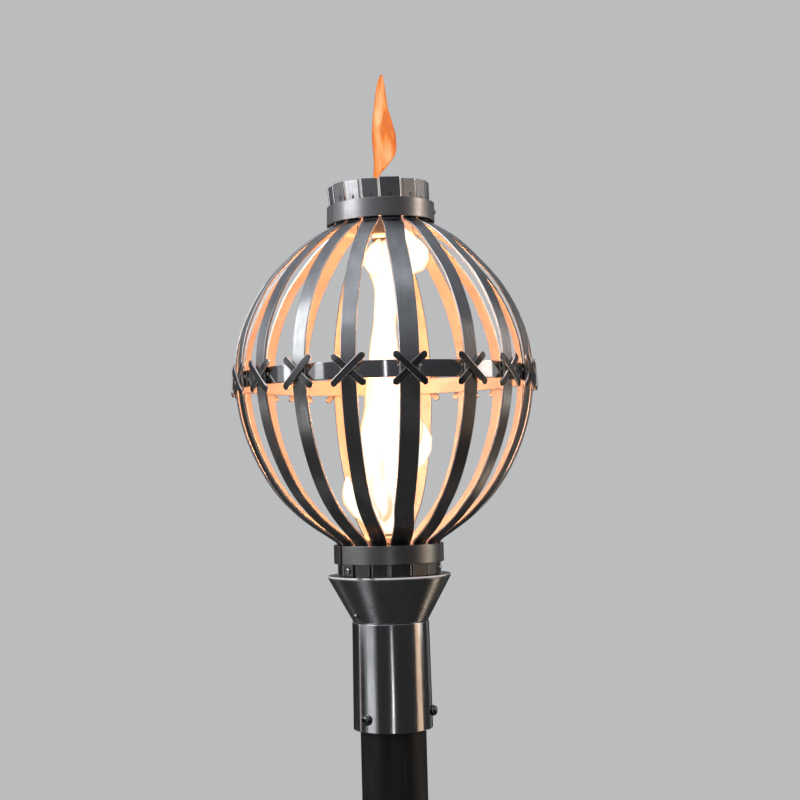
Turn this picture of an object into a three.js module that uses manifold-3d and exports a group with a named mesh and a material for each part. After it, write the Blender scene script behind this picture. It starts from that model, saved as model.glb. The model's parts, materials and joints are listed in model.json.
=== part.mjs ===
// Gas tiki torch: a cage of curved flat steel straps round an open flame, on a
// conical burner cup, a slip-over sleeve and a tubular steel pole.
// Units are millimetres, +Z is up, the origin is the centre of the pole's foot.
// The torch's front faces -Y. Azimuths are in degrees from the front, positive
// towards +X.
import * as THREE from "three";
import { mergeVertices } from "three/addons/utils/BufferGeometryUtils.js";
import Module from "manifold-3d";

const wasm = await Module();
wasm.setup();

// ---------------------------------------------------------------- dimensions
const GAP = 0.3; // clearance between pieces that touch

// pole: 3 in steel tube, 4 ft long
const POLE_OD = 76.2;
const POLE_WALL = 3.0;
const POLE_LENGTH = 1219.2;

// height of the cage's equator above the pole's foot
const EQ = POLE_LENGTH + 301.8;

// slip-over sleeve, slightly wider at its foot
const SLEEVE_BOTTOM = EQ - 404;
const SLEEVE_TOP = EQ - 281.6;
const SLEEVE_R_TOP = 44.6;
const SLEEVE_R_BOTTOM = 46.0;
const SLEEVE_WALL = 1.6;

// three clamp screws near the sleeve's foot
const CLAMP_Z = [EQ - 389.5, EQ - 384.5, EQ - 389.5];
const CLAMP_AZ = [-40, 80, 200];
const CLAMP_HEAD_R = 6.2;
const CLAMP_HEAD_H = 6.5;
const CLAMP_SHANK_R = 3.0;

// burner cup (cone)
const RIM_R = 71.6;
const RIM_Z = EQ - 229.7;
const CONE_FOOT_R = 43.4;
const CONE_FOOT_Z = EQ - 281.0;
const CONE_WALL = 1.6;
const NECK_R = 42.4;
const NECK_BOTTOM = EQ - 296;

// seat ring that carries the cage
const SEAT_TOP = EQ - 227.4;
const SEAT_THICK = 2.0;
const SEAT_R = 71.6;
const SPIGOT_R = 55.6;
const SPIGOT_WALL = 2.4;
const SPIGOT_TOP = EQ - 204;

// cage straps
const STRAP_T = 3.0;
const STRAP_HALF = 8.45;
const WIDE_STRAP_HALF = 11.0;
// outer face of a strap as [radius, height from the equator], crown to foot
const STRAP_PROFILE = [
  [58.9, 226.6], [58.9, 182.0], [60.3, 179.2], [63.6, 177.4], [77.5, 169.6],
  [97.4, 154.8], [114.6, 138.2], [132.7, 118.8], [147.1, 98.2], [158.3, 76.8],
  [167.0, 54.4], [172.4, 29.0], [173.7, 14.5], [173.9, 0], [173.2, -14.5],
  [171.4, -29.5], [165.2, -57.8], [155.0, -85.6], [141.5, -112.3],
  [123.5, -138.0], [101.5, -160.0], [74.0, -180.2], [64.4, -186.6],
  [60.9, -189.4], [59.9, -192.2], [59.9, -227.0],
];
// azimuth of each strap, clockwise seen from below, starting at the wide one
const STRAP_AZ = [
  9.05, 32.6, 52.0, 70.2, 88.4, 106.8, 125.4, 144.0, 162.5, 180.8, 199.1,
  217.3, 235.5, 253.8, 271.9, 289.8, 308.2, 327.9, 347.3,
];
// the straps are skewed a little: azimuths of their flats, at the crown and at the foot
const STRAP_END_AZ = [
  12.6, 35.6, 55.0, 73.1, 91.2, 109.3, 127.5, 145.6, 163.7, 181.8, 199.9,
  218.0, 236.1, 254.2, 272.3, 290.5, 308.7, 328.8, 349.6,
];
// straps whose flats are hammered wider than the rest of the strip
const SPREAD = [17, 18, 0, 1];
const SPREAD_BY = 0.09;
// straps whose foot carries a fixing screw (index into STRAP_AZ)
const SCREW_STRAPS = [16, 3, 9];
const GLOBE_SCREW_Z = EQ - 220.2;
const GLOBE_SCREW_HEAD_R = 3.8;
const GLOBE_SCREW_HEAD_H = 2.6;
const GLOBE_SCREW_R = 2.3;

// bands round the straps
const TOP_COLLAR = { ro: 63.2, ri: 61.0, z0: EQ + 182.0, z1: EQ + 204.0 };
const BOTTOM_COLLAR = { ro: 63.9, ri: 61.6, z0: EQ - 213.2, z1: EQ - 192.0 };
const BOTTOM_COLLAR_SPLIT_AZ = -58.4;
const BOTTOM_COLLAR_SPLIT = 4.0;
const HOOP = { ro: 170.1, ri: 167.3, z0: EQ - 9.5, z1: EQ + 9.5 };

// crossed strips over each strap at the hoop
const CROSS_LENGTH = 48;
const CROSS_HALF = 3.9;
const CROSS_T = 2.2;
const CROSS_SEAT_R = 174.25; // inner face of the under strip
const CROSS_TIP_DROP = 2.2;
// lean of the two strips from horizontal, and which of them lies on top
const CROSS_ANGLES = [
  [43, -44, 0], [44, -43, 0], [45, -42, 0], [43, -45, 0], [46, -44, 1],
  [44, -46, 0], [43, -44, 1], [45, -43, 1], [44, -44, 0], [42, -45, 1],
  [45, -45, 0], [44, -42, 1], [43, -46, 0], [45, -44, 1], [44, -45, 0],
  [44, -43, 0], [43, -45, 0], [45, -43, 1], [43, -42, 1],
];

// burner
const TUBE_R = 10.65;
const TUBE_BORE = 8.4;
const TUBE_BOTTOM = EQ - 330;
const TUBE_TOP = EQ - 196.5;
const HEAD_R = 25;
const HEAD_TOP = EQ - 187;
const HEAD_BOTTOM = EQ - 203;
const BUSH_Z0 = EQ - 278;
const BUSH_Z1 = EQ - 268;
const CONE_SCREW_AZ = -55;

// gas line and cock in the pole
const HOSE_R = 6.0;
const PIPE_R = 10.65;
const PIPE_BOTTOM = 70;
const COCK_Z = 700;
const COCK_HALF = 44;
const COCK_R = 15;
const PLUG_R = 8.5;
const STEM_R = 4.5;
const KNOB_R = 17;
const KNOB_FRONT = -60;
const KNOB_BACK = -40.4;
const STEM_HOLE_R = 7;

// ---------------------------------------------------------------- helpers
const rad = THREE.MathUtils.degToRad;

// A point at azimuth az (degrees), radius r, tangential offset t, height z.
function at(az, r, t, z) {
  const a = rad(az), s = Math.sin(a), c = Math.cos(a);
  return new THREE.Vector3(r * s + t * c, -r * c + t * s, z);
}

function signedVolume(pos, idx) {
  let v = 0;
  const a = new THREE.Vector3(), b = new THREE.Vector3(), c = new THREE.Vector3();
  for (let i = 0; i < idx.length; i += 3) {
    a.fromBufferAttribute(pos, idx[i]);
    b.fromBufferAttribute(pos, idx[i + 1]);
    c.fromBufferAttribute(pos, idx[i + 2]);
    v += a.dot(b.cross(c)) / 6;
  }
  return v;
}

// Shares the vertices of a closed geometry and turns its faces outwards.
function closed(geometry) {
  const g = geometry.clone();
  g.deleteAttribute("normal");
  g.deleteAttribute("uv");
  const m = mergeVertices(g, 1e-3);
  const idx = Array.from(m.index.array);
  const kept = [];
  for (let i = 0; i < idx.length; i += 3) {
    const [p, q, r] = [idx[i], idx[i + 1], idx[i + 2]];
    if (p !== q && q !== r && p !== r) kept.push(p, q, r);
  }
  if (signedVolume(m.attributes.position, kept) < 0)
    for (let i = 0; i < kept.length; i += 3)
      [kept[i + 1], kept[i + 2]] = [kept[i + 2], kept[i + 1]];
  m.setIndex(kept);
  m.computeVertexNormals();
  return m;
}

function solid(geometry) {
  const m = closed(geometry);
  return new wasm.Manifold(
    new wasm.Mesh({
      numProp: 3,
      vertProperties: new Float32Array(m.attributes.position.array),
      triVerts: new Uint32Array(m.index.array),
    }),
  );
}

function fromSolid(s) {
  const m = s.getMesh();
  const n = m.numProp, v = new Float32Array(m.numVert * 3);
  for (let i = 0; i < m.numVert; i++)
    for (let k = 0; k < 3; k++) v[3 * i + k] = m.vertProperties[i * n + k];
  const g = new THREE.BufferGeometry();
  g.setAttribute("position", new THREE.BufferAttribute(v, 3));
  g.setIndex(new THREE.BufferAttribute(new Uint32Array(m.triVerts), 1));
  g.computeVertexNormals();
  return g;
}

// Skins a row of equal-length closed sections and caps both ends.
function loft(sections) {
  const k = sections[0].length, pos = [], idx = [];
  for (const s of sections) for (const p of s) pos.push(p.x, p.y, p.z);
  for (let i = 0; i + 1 < sections.length; i++)
    for (let j = 0; j < k; j++) {
      const a = i * k + j, b = i * k + ((j + 1) % k);
      const c = a + k, d = b + k;
      idx.push(a, b, d, a, d, c);
    }
  const last = (sections.length - 1) * k;
  for (let j = 1; j + 1 < k; j++) {
    idx.push(0, j + 1, j);
    idx.push(last, last + j, last + j + 1);
  }
  const g = new THREE.BufferGeometry();
  g.setAttribute("position", new THREE.Float32BufferAttribute(pos, 3));
  g.setIndex(idx);
  return closed(g);
}

// A body of revolution about Z from a closed [r, z] profile.
function turned(profile, segments, phi0 = 0, phi = 2 * Math.PI) {
  const pts = profile.map(([r, z]) => new THREE.Vector2(r, z));
  if (pts[0].x > 1e-6 || pts[pts.length - 1].x > 1e-6) pts.push(pts[0].clone());
  const g = new THREE.LatheGeometry(pts, segments, phi0, phi);
  g.rotateX(Math.PI / 2);
  return g;
}

// A prism of an outline in XY, from z0 to z1.
function prism(outline, z0, z1) {
  const shape = new THREE.Shape(outline.map(([x, y]) => new THREE.Vector2(x, y)));
  const g = new THREE.ExtrudeGeometry(shape, { depth: z1 - z0, bevelEnabled: false });
  g.translate(0, 0, z0);
  return g;
}

function disc(r, segments, turn = 0) {
  return Array.from({ length: segments }, (_, i) => {
    const a = turn + (i / segments) * 2 * Math.PI;
    return [r * Math.cos(a), r * Math.sin(a)];
  });
}

// A round bar along local Z turned to point along dir from base.
function along(geometry, base, dir) {
  const q = new THREE.Quaternion().setFromUnitVectors(
    new THREE.Vector3(0, 0, 1), dir.clone().normalize());
  return geometry.clone().applyQuaternion(q).translate(base.x, base.y, base.z);
}

function radial(az) {
  return at(az, 1, 0, 0);
}

// Screw along local Z: the head's underside at 0, the shank below it.
function screw(headR, headH, shankR, shankL, socketR) {
  const body = solid(turned([
    [0, -shankL], [shankR, -shankL], [shankR, 0], [headR, 0],
    [headR, headH * 0.5], [headR * 0.84, headH * 0.88], [headR * 0.56, headH], [0, headH],
  ], 12));
  const socket = solid(prism(disc(socketR, 6), headH * 0.42, headH + 1));
  return fromSolid(body.subtract(socket));
}

// ---------------------------------------------------------------- materials
const mat = (color, roughness, metalness) =>
  new THREE.MeshStandardMaterial({ color, roughness, metalness });
const satinSteel = mat(0x6b6d70, 0.38, 1.0);
const bandSteel = mat(0x7b7c7d, 0.3, 1.0);
const crossSteel = mat(0x565a5c, 0.42, 1.0);
const coneSteel = mat(0x5c5c5e, 0.34, 1.0);
const sleeveSteel = mat(0x8a8a8c, 0.2, 1.0);
const screwSteel = mat(0x9a9a9c, 0.25, 1.0);
const poleBlack = mat(0x0d0d0e, 0.5, 0.0);
const brass = mat(0xb08d45, 0.35, 1.0);
const castSteel = mat(0x48484a, 0.6, 1.0);
const hoseYellow = mat(0xc9a227, 0.6, 0.0);
const pipeBlack = mat(0x1c1c1e, 0.6, 0.4);
const knobBlack = mat(0x151516, 0.55, 0.0);

const torch = new THREE.Group();
const place = (name, geometry, material) => {
  const m = new THREE.Mesh(closed(geometry), material);
  m.name = name;
  torch.add(m);
};

// ---------------------------------------------------------------- straps
const two = (i) => String(i + 1).padStart(2, "0");

function strap(i, halfWidth) {
  const spread = SPREAD.includes(i) ? SPREAD_BY : 0;
  const n = STRAP_PROFILE.length;
  const p = STRAP_PROFILE.map(([r, z]) => new THREE.Vector2(r, z));
  const sections = p.map((q, s) => {
    const a = p[Math.max(0, s - 1)], b = p[Math.min(n - 1, s + 1)];
    const d1 = q.clone().sub(a), d2 = b.clone().sub(q);
    if (s === 0) d1.copy(d2);
    if (s === n - 1) d2.copy(d1);
    const t = d1.normalize().add(d2.normalize()).normalize();
    const inward = new THREE.Vector2(t.y, -t.x); // towards the axis
    const cos = Math.max(0.7, Math.abs(t.dot(d1)));
    const inner = q.clone().addScaledVector(inward, STRAP_T / cos);
    const w = THREE.MathUtils.smoothstep(Math.abs(q.y), 145, 186);
    const az = STRAP_AZ[i] + w * (((STRAP_END_AZ[i] - STRAP_AZ[i] + 540) % 360) - 180);
    const half = halfWidth * (1 + spread * w);
    return [
      at(az, q.x, -half, EQ + q.y), at(az, q.x, half, EQ + q.y),
      at(az, inner.x, half, EQ + inner.y), at(az, inner.x, -half, EQ + inner.y),
    ];
  });
  // square ends
  for (const [s, z] of [[0, STRAP_PROFILE[0][1]], [n - 1, STRAP_PROFILE[n - 1][1]]])
    sections[s].forEach((v) => (v.z = EQ + z));
  return loft(sections);
}

STRAP_AZ.forEach((az, i) => {
  const half = i === 0 ? WIDE_STRAP_HALF : STRAP_HALF;
  let g = strap(i, half);
  if (SCREW_STRAPS.includes(i)) {
    const hole = along(turned([[0, 48], [GLOBE_SCREW_R + GAP, 48], [GLOBE_SCREW_R + GAP, 66], [0, 66]], 12),
      new THREE.Vector3(0, 0, GLOBE_SCREW_Z), radial(STRAP_END_AZ[i]));
    g = fromSolid(solid(g).subtract(solid(hole)));
  }
  place("strap_" + two(i), g, satinSteel);
});

// ---------------------------------------------------------------- bands
const ring = (b, segments) =>
  turned([[b.ri, b.z0], [b.ro, b.z0], [b.ro, b.z1], [b.ri, b.z1]], segments);

place("top_collar", ring(TOP_COLLAR, 48), bandSteel);
place("equator_hoop", ring(HOOP, 57), bandSteel);
{
  const slot = along(prism([[-BOTTOM_COLLAR_SPLIT / 2, -40], [BOTTOM_COLLAR_SPLIT / 2, -40],
    [BOTTOM_COLLAR_SPLIT / 2, 40], [-BOTTOM_COLLAR_SPLIT / 2, 40]], 50, 76),
    new THREE.Vector3(0, 0, 0), new THREE.Vector3(0, 0, 1));
  // turn the slot's local Z to the split's azimuth, its local Y to vertical
  const m = new THREE.Matrix4().makeBasis(
    at(BOTTOM_COLLAR_SPLIT_AZ, 0, 1, 0), new THREE.Vector3(0, 0, 1),
    radial(BOTTOM_COLLAR_SPLIT_AZ).negate());
  slot.applyMatrix4(new THREE.Matrix4().makeScale(1, 1, -1));
  slot.applyMatrix4(m);
  slot.translate(0, 0, (BOTTOM_COLLAR.z0 + BOTTOM_COLLAR.z1) / 2);
  place("bottom_collar", fromSolid(solid(ring(BOTTOM_COLLAR, 48)).subtract(solid(slot))), bandSteel);
}

// ---------------------------------------------------------------- crosses
// One strip: stations along its length, rounded tips, tips bent inwards.
function strip(az, lean, seat) {
  const L = CROSS_LENGTH / 2, w = CROSS_HALF;
  const stations = [[-L, 0.42], [-L + 1.3, 0.8], [-L + 3.9, 1], [-14, 1],
    [14, 1], [L - 3.9, 1], [L - 1.3, 0.8], [L, 0.42]];
  const c = Math.cos(rad(lean)), s = Math.sin(rad(lean));
  return loft(stations.map(([x, k]) => {
    const drop = Math.abs(x) > 14 ? CROSS_TIP_DROP * ((Math.abs(x) - 14) / (L - 14)) ** 2 : 0;
    const slope = Math.abs(x) > 14 ? -Math.sign(x) * 2 * CROSS_TIP_DROP * (Math.abs(x) - 14) / (L - 14) ** 2 : 0;
    const corner = (y, up) => {
      const r = seat - drop + up;
      const u = x - up * slope;
      return at(az, r, u * c - y * s, EQ + u * s + y * c);
    };
    return [corner(-w * k, 0), corner(w * k, 0), corner(w * k, CROSS_T), corner(-w * k, CROSS_T)];
  }));
}

STRAP_AZ.forEach((az, i) => {
  const [a, b, top] = CROSS_ANGLES[i];
  const under = strip(az, top ? b : a, CROSS_SEAT_R);
  const over = strip(az, top ? a : b, CROSS_SEAT_R + CROSS_T - 0.35);
  place("cross_" + two(i), fromSolid(solid(under).add(solid(over))), crossSteel);
});

// ---------------------------------------------------------------- cage screws
SCREW_STRAPS.forEach((s, i) => {
  const az = STRAP_END_AZ[s], foot = STRAP_PROFILE[STRAP_PROFILE.length - 1][0];
  const seat = foot + GAP;
  const g = screw(GLOBE_SCREW_HEAD_R, GLOBE_SCREW_HEAD_H, GLOBE_SCREW_R, seat - SPIGOT_R - GAP, 1.6);
  place("cage_screw_" + (i + 1), along(g, at(az, seat, 0, GLOBE_SCREW_Z), radial(az)), screwSteel);
});

// ---------------------------------------------------------------- seat ring
{
  let s = solid(turned([
    [42, SEAT_TOP - SEAT_THICK], [SEAT_R, SEAT_TOP - SEAT_THICK], [SEAT_R, SEAT_TOP],
    [SPIGOT_R, SEAT_TOP], [SPIGOT_R, SPIGOT_TOP], [SPIGOT_R - SPIGOT_WALL, SPIGOT_TOP],
    [SPIGOT_R - SPIGOT_WALL, SEAT_TOP], [42, SEAT_TOP],
  ], 40));
  s = s.add(solid(turned([[TUBE_R + 0.4, SEAT_TOP - 6], [18, SEAT_TOP - 6], [18, SEAT_TOP + 6],
    [TUBE_R + 0.4, SEAT_TOP + 6]], 16)));
  for (const az of [30, 150, 270]) {
    const arm = new THREE.BoxGeometry(14, 27.5, SEAT_THICK);
    arm.translate(0, -30.2, SEAT_TOP - SEAT_THICK / 2);
    arm.rotateZ(rad(az));
    s = s.add(solid(arm));
  }
  place("cage_seat", fromSolid(s), coneSteel);
}

// ---------------------------------------------------------------- cone
const coneSlope = (RIM_R - CONE_FOOT_R) / (RIM_Z - CONE_FOOT_Z);
const coneR = (z) => CONE_FOOT_R + (z - CONE_FOOT_Z) * coneSlope;
const coneNormal = (az) => radial(az).multiplyScalar(1).add(new THREE.Vector3(0, 0, -coneSlope)).normalize();
const wallH = CONE_WALL * Math.hypot(1, coneSlope); // wall measured horizontally
const CONE_SCREW_Z = (BUSH_Z0 + BUSH_Z1) / 2;
const coneScrewBase = at(CONE_SCREW_AZ, coneR(CONE_SCREW_Z), 0, CONE_SCREW_Z);
{
  const c = solid(turned([
    [NECK_R, NECK_BOTTOM], [NECK_R, SLEEVE_TOP - 0.2], [CONE_FOOT_R, CONE_FOOT_Z + 0.2], [RIM_R, RIM_Z],
    [RIM_R - wallH, RIM_Z], [CONE_FOOT_R - wallH, CONE_FOOT_Z], [NECK_R - CONE_WALL, SLEEVE_TOP - 1],
    [NECK_R - CONE_WALL, NECK_BOTTOM],
  ], 44));
  const hole = along(turned([[0, -12], [2.5, -12], [2.5, 6], [0, 6]], 8), coneScrewBase, coneNormal(CONE_SCREW_AZ));
  place("burner_cone", fromSolid(c.subtract(solid(hole))), coneSteel);

  let b = solid(turned([
    [TUBE_R + 0.4, BUSH_Z0], [coneR(BUSH_Z0) - wallH - 0.4, BUSH_Z0],
    [coneR(BUSH_Z1) - wallH - 0.4, BUSH_Z1], [TUBE_R + 0.4, BUSH_Z1],
  ], 28));
  for (let i = 0; i < 6; i++) {
    const vent = prism(disc(6, 8), BUSH_Z0 - 1, BUSH_Z1 + 1);
    const p = at(CONE_SCREW_AZ + 30 + 60 * i, 26, 0, 0);
    vent.translate(p.x, p.y, 0);
    b = b.subtract(solid(vent));
  }
  const bore = along(turned([[0, -11], [2.5, -11], [2.5, 6], [0, 6]], 8), coneScrewBase, coneNormal(CONE_SCREW_AZ));
  place("burner_bush", fromSolid(b.subtract(solid(bore))), castSteel);

  place("cone_screw", along(screw(3.4, 2.4, 2.1, 9.5, 1.5),
    coneScrewBase.clone().addScaledVector(coneNormal(CONE_SCREW_AZ), GAP), coneNormal(CONE_SCREW_AZ)), screwSteel);
}

// ---------------------------------------------------------------- sleeve
const sleeveR = (z) => SLEEVE_R_BOTTOM + ((z - SLEEVE_BOTTOM) / (SLEEVE_TOP - SLEEVE_BOTTOM)) * (SLEEVE_R_TOP - SLEEVE_R_BOTTOM);
{
  let s = solid(turned([
    [SLEEVE_R_BOTTOM - SLEEVE_WALL, SLEEVE_BOTTOM], [SLEEVE_R_BOTTOM, SLEEVE_BOTTOM],
    [SLEEVE_R_TOP, SLEEVE_TOP], [SLEEVE_R_TOP - SLEEVE_WALL, SLEEVE_TOP],
  ], 44));
  const poleR = POLE_OD / 2;
  CLAMP_AZ.forEach((az, i) => {
    const r = sleeveR(CLAMP_Z[i]);
    const boss = along(prism(disc(6, 8), poleR + 1.2, r - 0.7), new THREE.Vector3(0, 0, CLAMP_Z[i]), radial(az));
    s = s.add(solid(boss));
  });
  CLAMP_AZ.forEach((az, i) => {
    const bore = along(prism(disc(CLAMP_SHANK_R + GAP, 8), poleR - 2, poleR + 14), new THREE.Vector3(0, 0, CLAMP_Z[i]), radial(az));
    s = s.subtract(solid(bore));
  });
  place("sleeve", fromSolid(s), sleeveSteel);
  CLAMP_AZ.forEach((az, i) => {
    const seat = sleeveR(CLAMP_Z[i]) + GAP;
    const g = screw(CLAMP_HEAD_R, CLAMP_HEAD_H, CLAMP_SHANK_R, seat - poleR - GAP, 2.9);
    place("clamp_screw_" + (i + 1), along(g, at(az, seat, 0, CLAMP_Z[i]), radial(az)), screwSteel);
  });
}

// ---------------------------------------------------------------- burner
{
  let t = solid(turned([
    [TUBE_BORE, TUBE_BOTTOM + 8], [TUBE_BORE, TUBE_TOP], [TUBE_R, TUBE_TOP], [TUBE_R, TUBE_BOTTOM + 20],
    [14, TUBE_BOTTOM + 20], [14, TUBE_BOTTOM + 4], [11, TUBE_BOTTOM], [3, TUBE_BOTTOM], [3, TUBE_BOTTOM + 8],
  ], 18));
  for (const az of [0, 90]) {
    const air = along(prism(disc(3.2, 8), -16, 16), new THREE.Vector3(0, 0, EQ - 250), radial(az));
    t = t.subtract(solid(air));
  }
  place("burner_tube", fromSolid(t), castSteel);

  let h = solid(turned([
    [TUBE_R + 0.4, HEAD_BOTTOM], [15, HEAD_BOTTOM], [HEAD_R - 2, HEAD_BOTTOM + 5], [HEAD_R, HEAD_BOTTOM + 8],
    [HEAD_R, HEAD_TOP - 3], [HEAD_R - 3, HEAD_TOP], [0, HEAD_TOP + 1.5], [0, HEAD_TOP - 1.5],
    [HEAD_R - 4.5, HEAD_TOP - 3], [HEAD_R - 4.5, HEAD_BOTTOM + 8], [14, HEAD_BOTTOM + 6.2], [TUBE_R + 0.4, HEAD_BOTTOM + 6.2],
  ], 24));
  for (let i = 0; i < 8; i++) {
    const port = prism(disc(2, 6), HEAD_TOP - 8, HEAD_TOP + 4);
    const p = at(45 * i + 10, 15, 0, 0);
    port.translate(p.x, p.y, 0);
    h = h.subtract(solid(port));
  }
  place("burner_head", fromSolid(h), castSteel);
}

// ---------------------------------------------------------------- pole
{
  const r = POLE_OD / 2;
  const tube = solid(turned([[r - POLE_WALL, 0], [r, 0], [r, POLE_LENGTH], [r - POLE_WALL, POLE_LENGTH]], 44));
  const hole = along(prism(disc(STEM_HOLE_R, 12), 30, 44), new THREE.Vector3(0, 0, COCK_Z), radial(0));
  place("pole", fromSolid(tube.subtract(solid(hole))), poleBlack);
}

// ---------------------------------------------------------------- gas line
{
  const top = COCK_Z + COCK_HALF + GAP, end = TUBE_BOTTOM - GAP;
  const path = new THREE.CatmullRomCurve3([
    new THREE.Vector3(0, 0, top), new THREE.Vector3(0, 0, top + 40),
    new THREE.Vector3(7, 4, top + 130), new THREE.Vector3(-6, 6, top + 250),
    new THREE.Vector3(5, -4, top + 340), new THREE.Vector3(0, 0, end - 35), new THREE.Vector3(0, 0, end),
  ], false, "catmullrom", 0.5);
  // square the ends by making the first and last sections horizontal
  const steps = 14, sides = 8, sections = [];
  for (let i = 0; i <= steps; i++) {
    const p = path.getPoint(i / steps);
    sections.push(Array.from({ length: sides }, (_, j) => {
      const a = (j / sides) * 2 * Math.PI;
      return new THREE.Vector3(p.x + HOSE_R * Math.cos(a), p.y + HOSE_R * Math.sin(a), p.z);
    }));
  }
  place("gas_hose", loft(sections), hoseYellow);

  place("supply_pipe", turned([[7.8, PIPE_BOTTOM], [PIPE_R, PIPE_BOTTOM], [PIPE_R, COCK_Z - COCK_HALF - GAP],
    [7.8, COCK_Z - COCK_HALF - GAP]], 16), pipeBlack);

  let v = solid(turned([
    [6, COCK_Z - COCK_HALF], [16, COCK_Z - COCK_HALF], [16, COCK_Z - COCK_HALF + 14], [COCK_R - 2, COCK_Z - COCK_HALF + 18],
    [COCK_R, COCK_Z - 12], [COCK_R, COCK_Z + 12], [COCK_R - 2, COCK_Z + COCK_HALF - 18],
    [16, COCK_Z + COCK_HALF - 14], [16, COCK_Z + COCK_HALF], [6, COCK_Z + COCK_HALF],
  ], 16));
  const boss = along(prism(disc(12, 14), -19, 31), new THREE.Vector3(0, 0, COCK_Z), radial(0));
  v = v.add(solid(boss));
  v = v.subtract(solid(prism(disc(6, 12), COCK_Z - 60, COCK_Z + 60)));
  v = v.subtract(solid(along(turned([[0, -24], [PLUG_R + GAP, -24], [PLUG_R + GAP, 14 + GAP], [STEM_R + GAP, 14 + GAP],
    [STEM_R + GAP, 36], [0, 36]], 16), new THREE.Vector3(0, 0, COCK_Z), radial(0))));
  place("gas_cock_body", fromSolid(v), brass);

  // plug and stem in one piece: the plug's cross bore stands in line with the pipe when the cock is open
  let p = solid(along(turned([[0, -16], [PLUG_R, -16], [PLUG_R, 14], [STEM_R, 14], [STEM_R, 55], [STEM_R - 0.8, 56], [0, 56]], 16),
    new THREE.Vector3(0, 0, COCK_Z), radial(0)));
  p = p.subtract(solid(prism(disc(5.4, 10), COCK_Z - 30, COCK_Z + 30)));
  place("gas_cock_plug", fromSolid(p), brass);

  // knob: nine shallow grips, blind bore for the stem
  const outline = [];
  for (let i = 0; i < 36; i++) {
    const a = (i / 36) * 2 * Math.PI;
    const rr = KNOB_R - 1.3 * (0.5 - 0.5 * Math.cos(9 * a)) ** 2;
    outline.push([rr * Math.cos(a), rr * Math.sin(a)]);
  }
  let k = solid(prism(outline, -KNOB_BACK, -KNOB_FRONT));
  k = k.intersect(solid(turned([[0, -KNOB_BACK], [KNOB_R - 0.4, -KNOB_BACK], [KNOB_R + 0.4, -KNOB_BACK + 2],
    [KNOB_R + 0.4, -KNOB_FRONT - 3], [KNOB_R - 3, -KNOB_FRONT], [0, -KNOB_FRONT]], 24)));
  k = k.subtract(solid(turned([[0, 38], [STEM_R + GAP, 38], [STEM_R + GAP, 56.6], [0, 56.6]], 12)));
  // pointer ridge across the face
  const ridge = new THREE.BoxGeometry(3.2, KNOB_R * 1.5, 2.6);
  ridge.translate(0, 0, -KNOB_FRONT + 0.6);
  k = k.add(solid(ridge));
  place("gas_knob", along(fromSolid(k), new THREE.Vector3(0, 0, COCK_Z), radial(0)), knobBlack);
}

export default torch;
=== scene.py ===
import json
import math

import bmesh
import bpy
import numpy as np
from mathutils import Matrix, Vector

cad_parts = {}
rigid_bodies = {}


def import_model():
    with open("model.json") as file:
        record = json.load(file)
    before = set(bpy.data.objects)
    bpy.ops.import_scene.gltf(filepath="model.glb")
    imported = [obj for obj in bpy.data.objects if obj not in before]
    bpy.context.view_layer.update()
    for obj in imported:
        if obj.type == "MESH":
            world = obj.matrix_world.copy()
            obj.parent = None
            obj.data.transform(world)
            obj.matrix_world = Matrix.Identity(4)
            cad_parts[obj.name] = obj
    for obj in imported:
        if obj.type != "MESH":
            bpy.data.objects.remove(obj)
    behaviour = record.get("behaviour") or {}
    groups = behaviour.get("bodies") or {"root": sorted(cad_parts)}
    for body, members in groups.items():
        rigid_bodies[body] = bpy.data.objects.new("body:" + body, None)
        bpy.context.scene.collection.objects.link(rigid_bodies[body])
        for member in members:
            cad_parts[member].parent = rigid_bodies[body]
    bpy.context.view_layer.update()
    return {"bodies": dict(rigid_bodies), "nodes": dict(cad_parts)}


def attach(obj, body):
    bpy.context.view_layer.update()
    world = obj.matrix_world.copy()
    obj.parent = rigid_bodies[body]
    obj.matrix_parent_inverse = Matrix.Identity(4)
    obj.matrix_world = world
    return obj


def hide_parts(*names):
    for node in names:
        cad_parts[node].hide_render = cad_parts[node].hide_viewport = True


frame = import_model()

# =====================================================================
# dimensions in millimetres, the same as the CAD source's
# =====================================================================
MM = 0.001
EQ = 1521.0
POLE_R, POLE_WALL, POLE_LENGTH = 38.1, 3.0, 1219.2
SLEEVE = dict(z0=EQ - 404, z1=EQ - 281.6, r0=46.0, r1=44.6, wall=1.6)
CLAMP_Z, CLAMP_AZ = (EQ - 389.5, EQ - 384.5, EQ - 389.5), (-40, 80, 200)
RIM_R, RIM_Z, FOOT_R, FOOT_Z, CONE_WALL = 71.6, EQ - 229.7, 43.4, EQ - 281.0, 1.6
NECK_R, NECK_Z0 = 42.4, EQ - 296
SEAT_TOP, SEAT_T, SEAT_R = EQ - 227.4, 2.0, 71.6
SPIGOT_R, SPIGOT_WALL, SPIGOT_TOP = 55.6, 2.4, EQ - 204
STRAP_T, STRAP_HALF, WIDE_HALF = 3.0, 8.45, 11.0
STRAP_AZ = [9.05, 32.6, 52.0, 70.2, 88.4, 106.8, 125.4, 144.0, 162.5, 180.8, 199.1,
            217.3, 235.5, 253.8, 271.9, 289.8, 308.2, 327.9, 347.3]
STRAP_END_AZ = [12.6, 35.6, 55.0, 73.1, 91.2, 109.3, 127.5, 145.6, 163.7, 181.8, 199.9,
                218.0, 236.1, 254.2, 272.3, 290.5, 308.7, 328.8, 349.6]
SPREAD, SPREAD_BY = (17, 18, 0, 1), 0.09
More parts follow.
